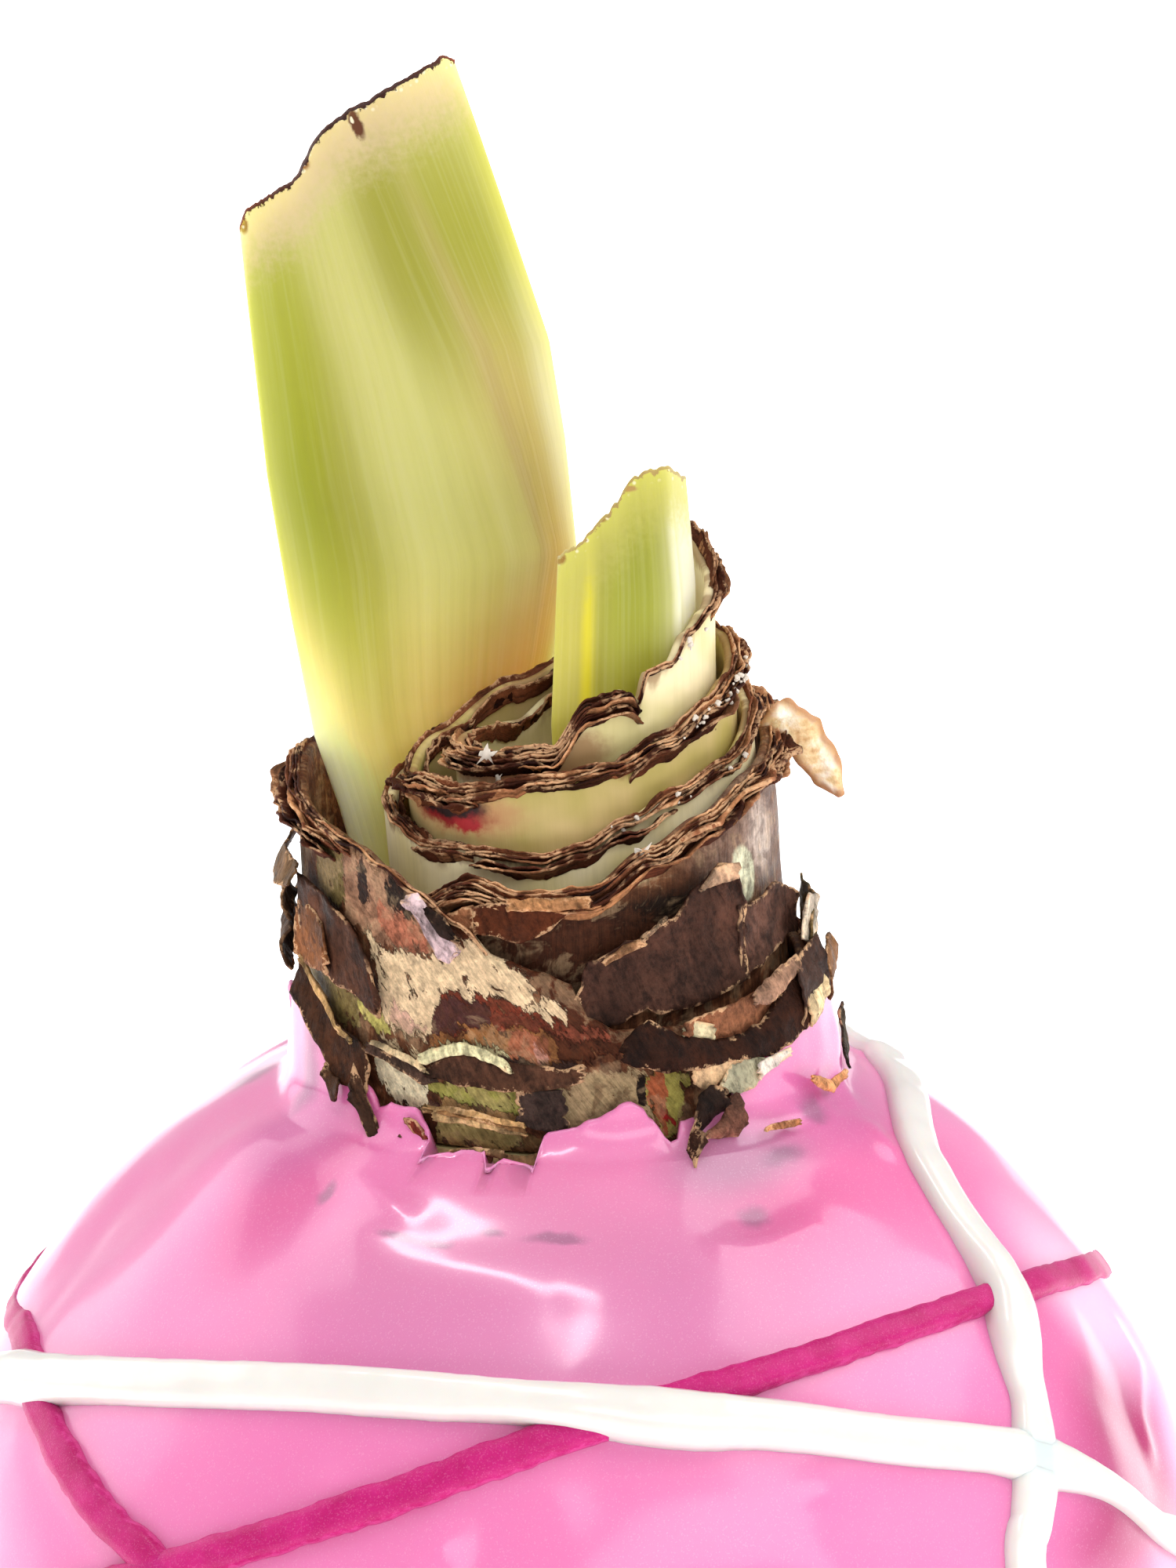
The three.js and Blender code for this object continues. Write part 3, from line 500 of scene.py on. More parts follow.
def pushed(tree, point, way, amount):
    """The point moved by a vector, which is first multiplied by an amount along each axis."""
    made = node(tree, "ShaderNodeVectorMath", {0: way, 1: amount, 2: point}, operation="MULTIPLY_ADD")
    return made.outputs["Vector"]


# Patches of painted shade and painted reflection on the wax: mauve and deeper pink where the coat reflects
# little of the studio, and one pale patch at azimuth 77 that is a painted sheen.
WAX_PAINTED_SHADE_AND_SHEEN = [  # azimuth, elevation, half across, half up, edge, strength, colour
    (-48, 59, 3.4, 8, 0.7, 0.6, 0xC43F7E), (-4, 51, 19, 8.5, 0.5, 0.6, 0xBF789E),
    (5, 60, 22, 6, 0.7, 0.35, 0xCB7A98), (31, 59, 5, 3.5, 0.6, 0.6, 0xAE5580),
    (22, 52, 7, 6, 0.6, 0.4, 0xC06A98), (55, 57, 12, 6, 0.6, 0.55, 0xD9508F),
    (-80, 50, 9, 12, 0.6, 0.35, 0xD8488C), (62, 37, 4, 8, 0.7, 0.4, 0xCB4A84),
    (71, 25, 4.2, 8, 0.6, 1.0, 0xB01A66), (66, 28, 6, 4.5, 0.8, 0.85, 0xA21C5C),
    (60, 21, 7, 3.5, 0.8, 0.8, 0x9E2058), (77, 38, 5, 7, 0.7, 0.8, 0xF2CBE2),
    (-64, 40, 9, 7, 0.7, 0.35, 0xCC6C9E), (35, 64, 6, 2.6, 0.6, 0.7, 0x9C6B88),
    (70, 66, 6, 5, 0.5, 0.5, 0xB4508C), (-58, 62, 4, 5, 0.5, 0.5, 0xB5558F),
]
DARK_SPOTS = [  # azimuth, elevation, half across, half up: where dry skin shows through the wax
    (-42, 58.6, 0.5, 1), (-25, 56, 1.5, 0.4), (-19.4, 55.8, 1.2, 0.35), (-11.3, 57.3, 0.8, 0.4),
    (-1.5, 57, 1.9, 0.45), (31, 58.2, 1.2, 0.9), (44, 63, 1.8, 0.7), (60, 65.5, 1.2, 1), (-66, 67, 1.2, 2.4),
    (150, 60, 2.5, 1), (205, 58, 2, 1.4), (262, 61, 1.6, 2),
]

pink_wax, tree, shader = finish(
    "pink_wax", Roughness=0.3, Subsurface_Weight=0.35, Subsurface_Scale=1.4 * MM,
    Coat_Weight=0.6, Coat_Roughness=0.12, Specular_IOR_Level=0.3,
)
shader.inputs["Subsurface Radius"].default_value = (1.0, 0.35, 0.55)
here = place_of(tree)
shade = ramp(tree, clouds(tree, here, 26, 2.0), [(0.3, 0xDB71A8), (0.5, 0xDF7AAD), (0.7, 0xE485B3)])
# Painted shade and painted sheen, laid over the wax's own tone.
for azimuth, elevation, across, up, edge, strength, colour in WAX_PAINTED_SHADE_AND_SHEEN:
    mask = wax_patch(tree, here, azimuth, elevation, (across, 9, up), edge)
    shade = blend(tree, sums(tree, "MULTIPLY", mask, strength), shade, colour)
ragged = node(tree, "ShaderNodeTexNoise", {"Vector": here, "Scale": 0.5, "Detail": 2.0})
shift = node(tree, "ShaderNodeVectorMath", {
    0: ragged.outputs["Color"], 1: (0.5, 0.5, 0.5)}, operation="SUBTRACT").outputs["Vector"]
wavy = pushed(tree, here, shift, (1.1, 1.1, 1.1))
for azimuth, elevation, across, up in DARK_SPOTS:
    mask = wax_patch(tree, wavy, azimuth, elevation, (across, 7, up), 0.6)
    shade = blend(tree, sums(tree, "MULTIPLY", mask, 0.6), shade, 0x7A506C)
pearl = node(tree, "ShaderNodeTexVoronoi", {"Vector": here, "Scale": 11.0})
glint = span(tree, pearl.outputs["Color"], 0.72, 0.9)
shade = blend(tree, sums(tree, "MULTIPLY", glint, 0.08), shade, 0xFFE6F4)
tree.links.new(shade, shader.inputs["Base Color"])
rough_up(tree, shader, clouds(tree, here, 0.35, 1.0), 0.004)

coat = bent_grid("pink_wax_coat", COAT_SIDES, len(coat_rows) - 1, coat_point)
close_seams(coat)
fit(coat, pink_wax, "pink_wax", "wax_coat")

# ---- Magenta wax lines ------------------------------------------------------------------------------------
# Thin beads of magenta glitter wax, poured round the bulb before the white. Each set in little pulses, so
# its edges are scalloped.
MAGENTA_HALF_WIDTH, MAGENTA_HEIGHT = 1.32, 1.1
LINE_SECTION = 14  # points round a bead
LINE_END_STEPS = 9  # over which an open end tapers
LINE_UNDERSIDE = 0.5
ROUTE_STEPS = 24  # between two points of a route
SIDE_AT, SIDE_REACH, SIDE_DROP = 93, 17, 0.95  # the line lies deeper at both sides of the bulb
RIGHT_FROM, RIGHT_RUN, RIGHT_NARROWING = 12, 14, 0.16
LEFT_AT, LEFT_REACH, LEFT_NARROWING = -95, 11, 0.5
MAGENTA_RISING = [
    (-60, 12.5), (-38, 24), (-21, 31.7), (-9, 36.4), (6, 40.7), (19, 42.7), (35, 44.1), (58, 43.4),
    (83, 38.4), (100, 33), (115, 26), (130, 18), (150, 7), (170, -2), (195, -8), (220, -10), (245, -9),
    (265, -4), (285, 5),
]
MAGENTA_FALLING = [
    (-76, 33.6), (-63, 31.1), (-54, 28.4), (-46, 25.9), (-39, 24), (-20, 15), (0, 5), (20, -5), (45, -15),
    (72, -21), (100, -21.5), (130, -15), (155, -5), (180, 7), (205, 19), (230, 27), (255, 30.8), (270, 31.8),
]


def spline(points, closed, steps):
    """Evenly spaced headings along a smooth curve through [azimuth, elevation] points."""
    stops = [towards(*point) for point in points]
    count = len(stops)
    fine = []
    for i in range(count if closed else count - 1):
        near = [(i + k) % count if closed else min(count - 1, max(0, i + k)) for k in (-1, 0, 1, 2)]
        ends = [stops[k] for k in near]
        for step in range(ROUTE_STEPS):
            t = step / ROUTE_STEPS
            weights = (-t + 2 * t ** 2 - t ** 3, 2 - 5 * t ** 2 + 3 * t ** 3,
                       t + 4 * t ** 2 - 3 * t ** 3, t ** 3 - t ** 2)
            fine.append(sum((end * (weight / 2) for end, weight in zip(ends, weights)), Vector()))
    fine.append(stops[0] if closed else stops[-1])
    lengths = [0]
    for a, b in zip(fine, fine[1:]):
        lengths.append(lengths[-1] + (b - a).length)
    spaced, at = [], 0
    for step in range(steps + 1):
        goal = lengths[-1] * step / steps
        while at < len(fine) - 2 and lengths[at + 1] < goal:
            at += 1
        share = (goal - lengths[at]) / (lengths[at + 1] - lengths[at])
        spaced.append(fine[at].lerp(fine[at + 1], share).normalized())
    return spaced


def azimuth_of(heading):
    return degrees(atan2(heading.x, -heading.y))


def poured_line(name, route, closed, half_width, height, seed, scallop, roundness, climb, swell):
    """A bead of wax along a route on the coat, flat below. Its grain holds how near the top a place is."""
    steps = len(route) - 1

    def place(across, up):
        i = round(across * steps)
        heading = route[i]
        before = route[(i - 1) % steps if closed else max(0, i - 1)]
        after = route[(i + 1) % steps if closed else min(steps, i + 1)]
        sideways = (after - before).cross(heading).normalized()
        turn = 2 * pi * up
        side, top = cos(turn), sin(turn)
        pulse = noise.noise(heading * 34 + Vector((seed, side, 0))) * scallop
        pulse += noise.noise(heading * 90 + Vector((seed, side * 2, 5))) * scallop * 0.45
        end = 1 if closed else min(1, sqrt(max(0.02, min(i, steps - i) / LINE_END_STEPS)))
        width = half_width * end * (1 + pulse) * swell(heading)
        shift = side * abs(side) ** -0.35 * width / BODY_RADIUS if side else 0
        there = (heading + sideways * shift).normalized()
        elevation, azimuth = degrees(asin(there.z)), azimuth_of(there)
        wave = 1 + 0.12 * noise.noise(heading * 20 + Vector((seed, 0, 9)))
        thick = height * end * wave + climb(heading)
        lift = top ** roundness * thick if top > 0 else top * LINE_UNDERSIDE
        return egg_point(azimuth, elevation, lump(round(azimuth, 2), round(elevation, 2)) + lift)

    made = bent_grid(name, steps, LINE_SECTION, place, lambda across, up: Vector((0, sin(2 * pi * up), 0)))
    close_seams(made)
    if not closed:
        bpy.ops.object.mode_set(mode="EDIT")
        bpy.ops.mesh.select_all(action="DESELECT")
        bpy.ops.mesh.select_non_manifold()
        bpy.ops.mesh.edge_face_add()
        bpy.ops.object.mode_set(mode="OBJECT")
    return made


def join(pieces, name):
    """Makes one object of some, under a name."""
    bpy.ops.object.select_all(action="DESELECT")
    for piece in pieces:
        piece.select_set(True)
    bpy.context.view_layer.objects.active = pieces[0]
    bpy.ops.object.join()
    pieces[0].name = pieces[0].data.name = name
    return pieces[0]


def grain_of(tree):
    return node(tree, "ShaderNodeAttribute", attribute_name="grain").outputs["Vector"]


magenta_wax, tree, shader = finish(
    "magenta_wax", Roughness=0.4, Coat_Weight=0.12, Coat_Roughness=0.2, Specular_IOR_Level=0.15,
    Subsurface_Weight=0.1, Subsurface_Scale=0.6 * MM,
)
here = place_of(tree)
glitter = node(tree, "ShaderNodeTexVoronoi", {"Vector": here, "Scale": 12.0})
sparkle = span(tree, glitter.outputs["Color"], 0.62, 0.95)
colour = ramp(tree, clouds(tree, here, 2.5), [(0.3, 0xA90D5C), (0.7, 0xBE1C72)])
top = node(tree, "ShaderNodeSeparateXYZ", {0: grain_of(tree)})
ragged = span(tree, clouds(tree, here, 0.8), 0.3, 0.7, -0.25, 0.25)
# Lighter pink along both sides of the bead: a painted highlight on its edges.
side = span(tree, sums(tree, "ADD", top.outputs["Y"], ragged), 0.1, 0.5, 0.4, 0.0)
colour = blend(tree, side, colour, 0xE55CA6)
colour = blend(tree, sums(tree, "MULTIPLY", sparkle, 0.16), colour, 0xF08CC0)
tree.links.new(colour, shader.inputs["Base Color"])
rough_up(tree, shader, glitter.outputs["Distance"], 0.02)

magenta_routes = [spline(MAGENTA_RISING, True, 520), spline(MAGENTA_FALLING, True, 520)]


def low_at_sides(heading):
    """How much a magenta line sinks into the coat."""
    return -SIDE_DROP * exp(-((abs(azimuth_of(heading)) - SIDE_AT) / SIDE_REACH) ** 2)


def narrowing(heading):
    """The share of its plain width that a magenta line has."""
    azimuth = azimuth_of(heading)
    at_left = LEFT_NARROWING * exp(-((azimuth - LEFT_AT) / LEFT_REACH) ** 2)
    return 1 - RIGHT_NARROWING * smooth((azimuth - RIGHT_FROM) / RIGHT_RUN) - at_left


magenta_lines = join([
    poured_line(f"magenta_{seed}", route, True, MAGENTA_HALF_WIDTH, MAGENTA_HEIGHT, seed,
                scallop=0.14, roundness=0.6, climb=low_at_sides, swell=narrowing)
    for seed, route in enumerate(magenta_routes)
], "magenta_lines")
fit(magenta_lines, magenta_wax, "magenta_wax", "magenta_wax_lines")

# ---- White wax lines --------------------------------------------------------------------------------------
# Two wide beads of opaque white wax, poured last and thick, so that they ride over the magenta and spread
# where they cross each other.
WHITE_HALF_WIDTH, WHITE_HEIGHT = 1.72, 1.3
WHITE_ROUND = [
    (-71, 31.3), (-64, 33.3), (-46, 38.1), (-27, 41.3), (-10, 41.9), (10, 40.3), (22, 38.7), (35, 35.5),
    (48, 31.4), (57, 26.4), (66, 19.2), (80, 12), (100, 3), (125, -9), (155, -18), (185, -20), (212, -12),
    (238, 3), (262, 18), (277, 26),
]
WHITE_SHOULDER = [
    (33, -40), (34, -28), (37, -16), (39, -3), (41.4, 10), (44.9, 22.9), (47.1, 25.6), (49.7, 28.8),
    (51.8, 32), (53.5, 34.6), (54.9, 37.4), (56.8, 40.1), (59, 42.6), (60.4, 45.2), (62.8, 48.9), (65.8, 53),
    (71.5, 56.8), (82, 58.9), (98, 59.4), (118, 58.6), (138, 55.5), (156, 49), (170, 39), (179, 27),
    (186, 13), (191, -1), (196, -34),
]
WHITE_SWELLS = [  # azimuth, elevation, reach in millimetres and how much wider the line is there
    (11, 40.2, 5, 0.22), (-5, 41.8, 4, -0.1), (51, 30, 3.5, 0.25), (-68, 32, 5, 0.2), (62, 23, 7, -0.5),
    (50, 35.5, 3, -0.28), (56, 40, 3.5, 0.2),
]
CROSSING_REACH, CROSSING_CLIMB = 3.2, 0.9
magenta_stops = [point for route in magenta_routes for point in route[::4]]


@lru_cache(maxsize=None)
def climb_at(heading):
    """How much a white line rises where a magenta one is near."""
    nearest = min((point - Vector(heading)).length for point in magenta_stops) * BODY_RADIUS
    return CROSSING_CLIMB * exp(-(max(0, nearest - MAGENTA_HALF_WIDTH) / CROSSING_REACH) ** 2)


def over_magenta(heading):
    return climb_at(tuple(heading))


def white_swell(heading):
    """How many times its plain width a white line is."""
    wider = 1
    for azimuth, elevation, size, more in WHITE_SWELLS:
        off = (heading - towards(azimuth, elevation)).length * BODY_RADIUS
        wider += more * exp(-(off / size) ** 2)
    return wider


white_wax, tree, shader = finish(
    "white_wax", Roughness=0.28, Coat_Weight=0.6, Coat_Roughness=0.15, Subsurface_Weight=0.3,
    Subsurface_Scale=1.0 * MM,
)
here = place_of(tree)
colour = ramp(tree, clouds(tree, here, 7), [(0.3, 0xD9D4CE), (0.7, 0xE0DCD6)])
tree.links.new(colour, shader.inputs["Base Color"])
rough_up(tree, shader, clouds(tree, here, 1.4, 2.0), 0.02)

white_lines = join([
    poured_line(f"white_{seed}", spline(points, closed, steps), closed, WHITE_HALF_WIDTH, WHITE_HEIGHT, seed,
                scallop=0.03, roundness=0.8, climb=over_magenta, swell=white_swell)
    for seed, (points, closed, steps) in enumerate([(WHITE_ROUND, True, 620), (WHITE_SHOULDER, False, 460)])
], "white_lines")
fit(white_lines, white_wax, "white_wax", "white_wax_lines")

# ---- Inner scales -----------------------------------------------------------------------------------------
# Three fleshy scales nest inside each other, pale green and yellow on their faces. They were cut across, and
# each rim has dried into thin brown layers that have come apart and curled.
CORE_TOP_Z = 100.3
LEDGE_Z = 86.2
TAPER_LOW_Z, TAPER_HIGH_Z = 85.9, 106
FLARE_Z = 112
SCALE_WALL, RIM_WALL = 1, 0.8
RIM_DROP = 0.4  # how far the flesh has shrunk below the rim's line
WALL_COLUMNS, WALL_ROWS, INNER_ROWS = 240, 24, 10
SHEET_ROWS = 6
SCALES = {  # plan low and high: right, back, half across, half deep; then turn in degrees and outward flare
    "outer_scale": ((0, 0, 18.85, 17.6), (0, 0, 17.8, 16.9), 0, 0),
    "scale_4": ((0, 0, 17, 15.9), (0.7, -0.2, 16.4, 15.2), 0, 0),
    "scale_3": ((2.3, -2.8, 13.8, 9.3), (2.3, -2.8, 13.8, 9.3), 15, 0.04),
    "scale_2": ((2.6, -2.7, 12.3, 7.9), (2.6, -2.7, 12.3, 7.9), 15, 0.05),
    "scale_1": ((3.1, -2.5, 9.6, 6.4), (3.6, -2.5, 9.6, 6.4), 15, 0.08),
}
RIMS = {
    "scale_1": around([
        (-105, 113.1), (-60, 113.2), (-24, 114), (-8, 117.2), (6, 117.9), (14, 117.1), (18, 119),
        (30, 119.4), (42, 121.4), (58, 122.6), (90, 125), (116, 126.8), (134, 124.4), (160, 118),
        (184, 114.8), (204, 113)]),
    "scale_2": around([
        (-95, 110.8), (-68, 111.4), (-55, 111.1), (-15, 112.3), (5, 113), (23, 114.5), (44, 116.3),
        (62, 117.6), (98, 119.8), (125, 120.4), (160, 118), (190, 115.4), (225, 112.6)]),
    "scale_3": around([
        (-98, 109), (-80, 108), (-63, 107), (-41, 107.2), (-20, 106.8), (-8, 107.5), (5, 109.1), (25, 110.8),
        (42, 112), (85, 115), (110, 117), (150, 114.6), (185, 112.2), (225, 110.4)]),
    "scale_4": around([
        (-90, 101.6), (-55, 101.6), (-36, 103.6), (-20, 105.9), (-8, 104.9), (8, 105.2), (25, 107.8),
        (41, 109.5), (63, 111.5), (88, 112.4), (102, 114.6), (130, 113.6), (175, 110.4), (225, 104)]),
    "outer_scale": around([
        (-104, 110.6), (-83, 108.8), (-60, 108), (-47, 107.3), (-39, 106.2), (-30, 104.8), (-20, 102.8),
        (-12, 100.6), (-2, 99.6), (4, 98.8), (8, 96.2), (14, 95.2), (60, 94.4), (84, 96), (120, 96.6),
        (150, 99.5), (185, 104), (225, 108)]),
}
DARK, BROWN, TAN, CREAM = 0x2A0F09, 0x50291A, 0x7F4B31, 0xAD7750  # shades of dry skin


def scale_point(scale, azimuth, z, outside):
    """A point of a scale's outline at a height, so much outside its outer face."""
    low, high, turn, flare = SCALES[scale]
    share = min(1, max(0, (z - TAPER_LOW_Z) / (TAPER_HIGH_Z - TAPER_LOW_Z)))
    right, back, across, deep = [a + (b - a) * share for a, b in zip(low, high)]
    x, y = (across + outside) * sin(radians(azimuth)), -(deep + outside) * cos(radians(azimuth))
    c, s = cos(radians(turn)), sin(radians(turn))
    return Vector((right + x * c - y * s + flare * max(0, z - FLARE_Z) + lean(z), back + x * s + y * c, z))


def on_ring(scale, azimuth):
    """A place on a circle about as wide as the scale, for noise that closes round it."""
    size = SCALES[scale][1][2]
    return Vector((sin(radians(azimuth)) * size, cos(radians(azimuth)) * size, 0))


def scale_wall(name, foot_z):
    """The fleshy wall of a scale, from its foot over the rim and down its inner face. Its grain holds a
    place round the ring and how far below the rim it is."""
    rows = [(step / WALL_ROWS, 0.0) for step in range(WALL_ROWS + 1)] + [(1, 0.35), (1, 0.7)]
    rows += [((INNER_ROWS - step) / INNER_ROWS, 1.0) for step in range(INNER_ROWS + 1)] + [(0, 0.5)]
    rim_at = RIMS[name]

    def parts(across, up):
        share, inwards = rows[round(up * len(rows)) % len(rows)]
        azimuth = -180 + 360 * across
        return azimuth, share, inwards, foot_z + (rim_at(azimuth) - RIM_DROP - foot_z) * share

    def place(across, up):
        azimuth, share, inwards, z = parts(across, up)
        wall = SCALE_WALL + (RIM_WALL - SCALE_WALL) * share
        round_z = 0.2 * sin(pi * inwards) if share == 1 else 0
        wave = 0.1 * noise.noise(on_ring(name, azimuth) * 0.25 + Vector((0, 0, z * 0.2)))
        return scale_point(name, azimuth, z + round_z, wave * (inwards < 0.5) - wall * inwards)

    def grain(across, up):
        azimuth, share, inwards, z = parts(across, up)
        return on_ring(name, azimuth) + Vector((0, 0, rim_at(azimuth) - z))

    return close_seams(bent_grid(name + "_wall", WALL_COLUMNS, len(rows), place, grain))


def tinted(piece, columns, rows, tint_at):
    """Gives each point of a bent grid the colour and the distance from the torn edge that tint_at gives."""
    shares = [(column / columns, row / rows) for row in range(rows + 1) for column in range(columns + 1)]
    marks = piece.data.attributes.new("tint", "FLOAT_COLOR", "POINT").data
    for mark, (across, up) in zip(marks, shares):
        mark.color = tint_at(across, up)


def between(first, second, share):
    """A linear colour between two screen colours."""
    share = min(1, max(0, share))
    return [a + (b - a) * share for a, b in zip(tone(first), tone(second))]


def thicken(piece, thickness):
    """Gives a sheet a thickness in millimetres, inwards."""
    wall = piece.modifiers.new("wall", "SOLIDIFY")
    wall.thickness = thickness * MM
    wall.offset = -1
    bpy.ops.object.modifier_apply(modifier="wall")
    return piece


def rim_sheet(name, seed, start, end, outs, depth, lift, tints, tear=0.28, thickness=0.14, curl=0.2):
    """One dried layer of a rim. It grows out of the wall at a depth under its torn edge, leans out from
    outs[0] to outs[1], and its edge ends so far over the rim line."""
    rim_at = RIMS[name]
    columns = round(end - start)
    whole = end - start >= 360

    def levels(across):
        azimuth = start + (end - start) * across
        ends = 1 if whole else smooth((azimuth - start) / 7) * smooth((end - azimuth) / 7)
        top = lift + torn(azimuth, seed, tear) - 0.5 * depth * (1 - ends)
        tall = depth * (0.9 + 0.5 * noise.noise(on_ring(name, azimuth) * 0.3 + Vector((0, 0, seed))))
        return azimuth, ends, top, max(0.2, tall * (0.3 + 0.7 * ends))

    def place(across, up):
        azimuth, ends, top, tall = levels(across)
        here = on_ring(name, azimuth) + Vector((0, 0, seed * 5.7))
        lean_out = 1 + 0.9 * noise.noise(here * 0.22) + 0.45 * noise.noise(here * 0.7)
        out = outs[0] + (outs[1] * lean_out - outs[0]) * up ** 1.5 * (0.4 + 0.6 * ends)
        out += curl * (noise.noise(here * 0.55 + Vector((0, 0, up))) + 0.4 * noise.noise(here * 2.1)) * up
        return scale_point(name, azimuth, rim_at(azimuth) + top - tall * (1 - up), out)

    def grain(across, up):
        azimuth, _, top, tall = levels(across)
        return on_ring(name, azimuth) / 6 + Vector((0, 0, seed * 7 + tall * up / 0.3))

    def tint_at(across, up):
        azimuth, _, _, tall = levels(across)
        share = 0.5 + 1.6 * noise.noise(on_ring(name, azimuth) * 0.16 + Vector((0, 0, seed * 3.1)))
        return [*between(*tints, share)[:3], tall * (1 - up)]

    made = bent_grid(f"{name}_rim_{seed}", columns, SHEET_ROWS, place, grain)
    tinted(made, columns, SHEET_ROWS, tint_at)
    if whole:
        close_seams(made)
    return thicken(made, thickness)


fibre_group, given = node_group("fibres", {
    "Point": "Vector", "Scale": "Vector", "Detail": "Float", "Roughness": "Float", "Warp": "Float",
}, "Height")
mapped = node(fibre_group, "ShaderNodeMapping", {"Vector": given["Point"], "Scale": given["Scale"]})
node(fibre_group, "NodeGroupOutput", {
    "Height": clouds(
        fibre_group, mapped.outputs["Vector"], 1.0, given["Detail"], given["Roughness"], given["Warp"])})


def stretched(tree, point, sizes, detail=3.0, roughness=0.55, warp=0.0):
    """Noise drawn out to a size in millimetres along each axis of the point."""
    return node(tree, "ShaderNodeGroup", {
        "Point": point, "Scale": [1 / size for size in sizes], "Detail": detail, "Roughness": roughness,
        "Warp": warp,
    }, node_tree=fibre_group).outputs["Height"]


def lit(tree, colour, share):
    """A colour made darker or lighter by a share."""
    made = node(tree, "ShaderNodeVectorMath", {0: colour, "Scale": share}, operation="SCALE")
    return made.outputs["Vector"]


def weighted(tree, *parts):
    """The sum of [value, weight] pairs."""
    (value, weight), *others = parts
    part = sums(tree, "MULTIPLY", value, weight)
    return sums(tree, "ADD", part, weighted(tree, *others)) if others else part


dry_skin, tree, shader = finish("dry_skin", Roughness=0.6, Specular_IOR_Level=0.07, Subsurface_Weight=0.06,
                                Subsurface_Scale=0.5 * MM)
grain = grain_of(tree)
tint = node(tree, "ShaderNodeAttribute", attribute_name="tint")
strata = clouds(tree, grain, 1.0, 5.0, 0.65, 0.6)
crumbs = clouds(tree, place_of(tree), 0.45, 4.0, 0.7)
mottle = clouds(tree, place_of(tree), 2.2, 3.0)
mixed = weighted(tree, (strata, 0.4), (crumbs, 0.28), (mottle, 0.32))
colour = lit(tree, tint.outputs["Color"], span(tree, mixed, 0.36, 0.64, 0.32, 1.65))
near_edge = sums(tree, "ADD", tint.outputs["Alpha"], span(tree, crumbs, 0.3, 0.7, 0.22, -0.22))
edge_colour = blend(tree, 0.7, tint.outputs["Color"], 0xD9AE84)
edge_colour = lit(tree, edge_colour, span(tree, mixed, 0.36, 0.64, 0.7, 1.35))
pale = sums(tree, "MULTIPLY", span(tree, near_edge, 0.04, 0.2, 0.85, 0.0), span(tree, mottle, 0.46, 0.58))
colour = blend(tree, pale, colour, edge_colour)
tree.links.new(colour, shader.inputs["Base Color"])
tree.links.new(span(tree, mottle, 0.35, 0.65, 0.42, 0.72), shader.inputs["Roughness"])
rough_up(tree, shader, mixed, 0.6)


def ragged_way(tree, point, scale, detail, roughness):
    """Noise with three parts that each go from 0 to 1, to push a point by."""
    return node(tree, "ShaderNodeTexNoise", {
        "Vector": point, "Scale": scale, "Detail": detail, "Roughness": roughness}).outputs["Color"]


def pale_scale_finish(name, light, green, stains=()):
    """Fleshy scale: cream to green, with fine upright veins, and stained brown near its rim."""
    made, tree, shader = finish(
        name, Roughness=0.45, Subsurface_Weight=0.2, Subsurface_Scale=0.8 * MM, Specular_IOR_Level=0.2)
    shader.inputs["Subsurface Radius"].default_value = (1.0, 0.9, 0.6)
    grain = grain_of(tree)
    here = place_of(tree)
    veins = stretched(tree, grain, (0.45, 0.45, 9), 3.0)
    colour = ramp(tree, clouds(tree, here, 5, 2.0), [(0.35, green), (0.62, light)])
    colour = blend(tree, span(tree, veins, 0.42, 0.7, 0.0, 0.1), colour, 0xA29356)
    below = node(tree, "ShaderNodeSeparateXYZ", {0: grain}).outputs["Z"]
    waves = stretched(tree, grain, (2.2, 2.2, 3))
    stain_edge = sums(tree, "ADD", below, span(tree, waves, 0.3, 0.7, 1.2, -0.6))
    colour = blend(tree, span(tree, stain_edge, 0.5, 1.6, 0.7, 0.0), colour, 0x8A6440)
    specks = node(tree, "ShaderNodeTexVoronoi", {"Vector": here, "Scale": 0.35})
    colour = blend(tree, span(tree, specks.outputs["Distance"], 0.035, 0.06, 0.8, 0.0), colour, 0x5B4026)
    point = pushed(tree, here, ragged_way(tree, here, 1.2, 4.0, 0.65), (1.6, 1.6, 1.6))
    for azimuth, z, across, up, edge, shade in stains:
        centre = scale_point(name.removesuffix("_flesh"), azimuth, z, 0) + Vector((0.8, 0.8, 0.8))
        rotation = (0, 0, radians(azimuth + 15))
        colour = blend(tree, torn_patch(tree, point, centre, rotation, (across, 3, up), edge), colour, shade)
    tree.links.new(colour, shader.inputs["Base Color"])
    rough_up(tree, shader, veins, 0.05)
    return made


SCALE_2_STAINS = [  # azimuth, height, half across, half up, edge, colour
    (-52, 109, 4.6, 1.5, 0.5, 0xB98A5C), (-57, 108.9, 2.8, 0.9, 0.4, 0x8A1C20),
    (-58, 109.6, 2.8, 0.9, 0.3, 0x24100F), (-49, 108.2, 1.0, 0.5, 0.5, 0xA8242A),
]
SCALE_1_STAINS = [
    (-60, 112, 8, 1.6, 0.5, 0xA87C5C), (-35, 112.4, 5, 1.2, 0.5, 0x9A6A48),
    (-14, 113.4, 2.4, 1.4, 0.5, 0xA3845A),
]
PALE_FINISHES = {
    "scale_1": pale_scale_finish("scale_1_flesh", 0xE9D9AE, 0xCFC389, SCALE_1_STAINS),
    "scale_2": pale_scale_finish("scale_2_flesh", 0xCDB47C, 0xB3A25C, SCALE_2_STAINS),
    "scale_3": pale_scale_finish("scale_3_flesh", 0xFBEBBE, 0xEBDA9C),
}
UNDER_SEED, UNDER_OUT, UNDER_DEPTH, UNDER_DROP = 200, 0.2, 0.7, 0.24  # a second layer, under each of these
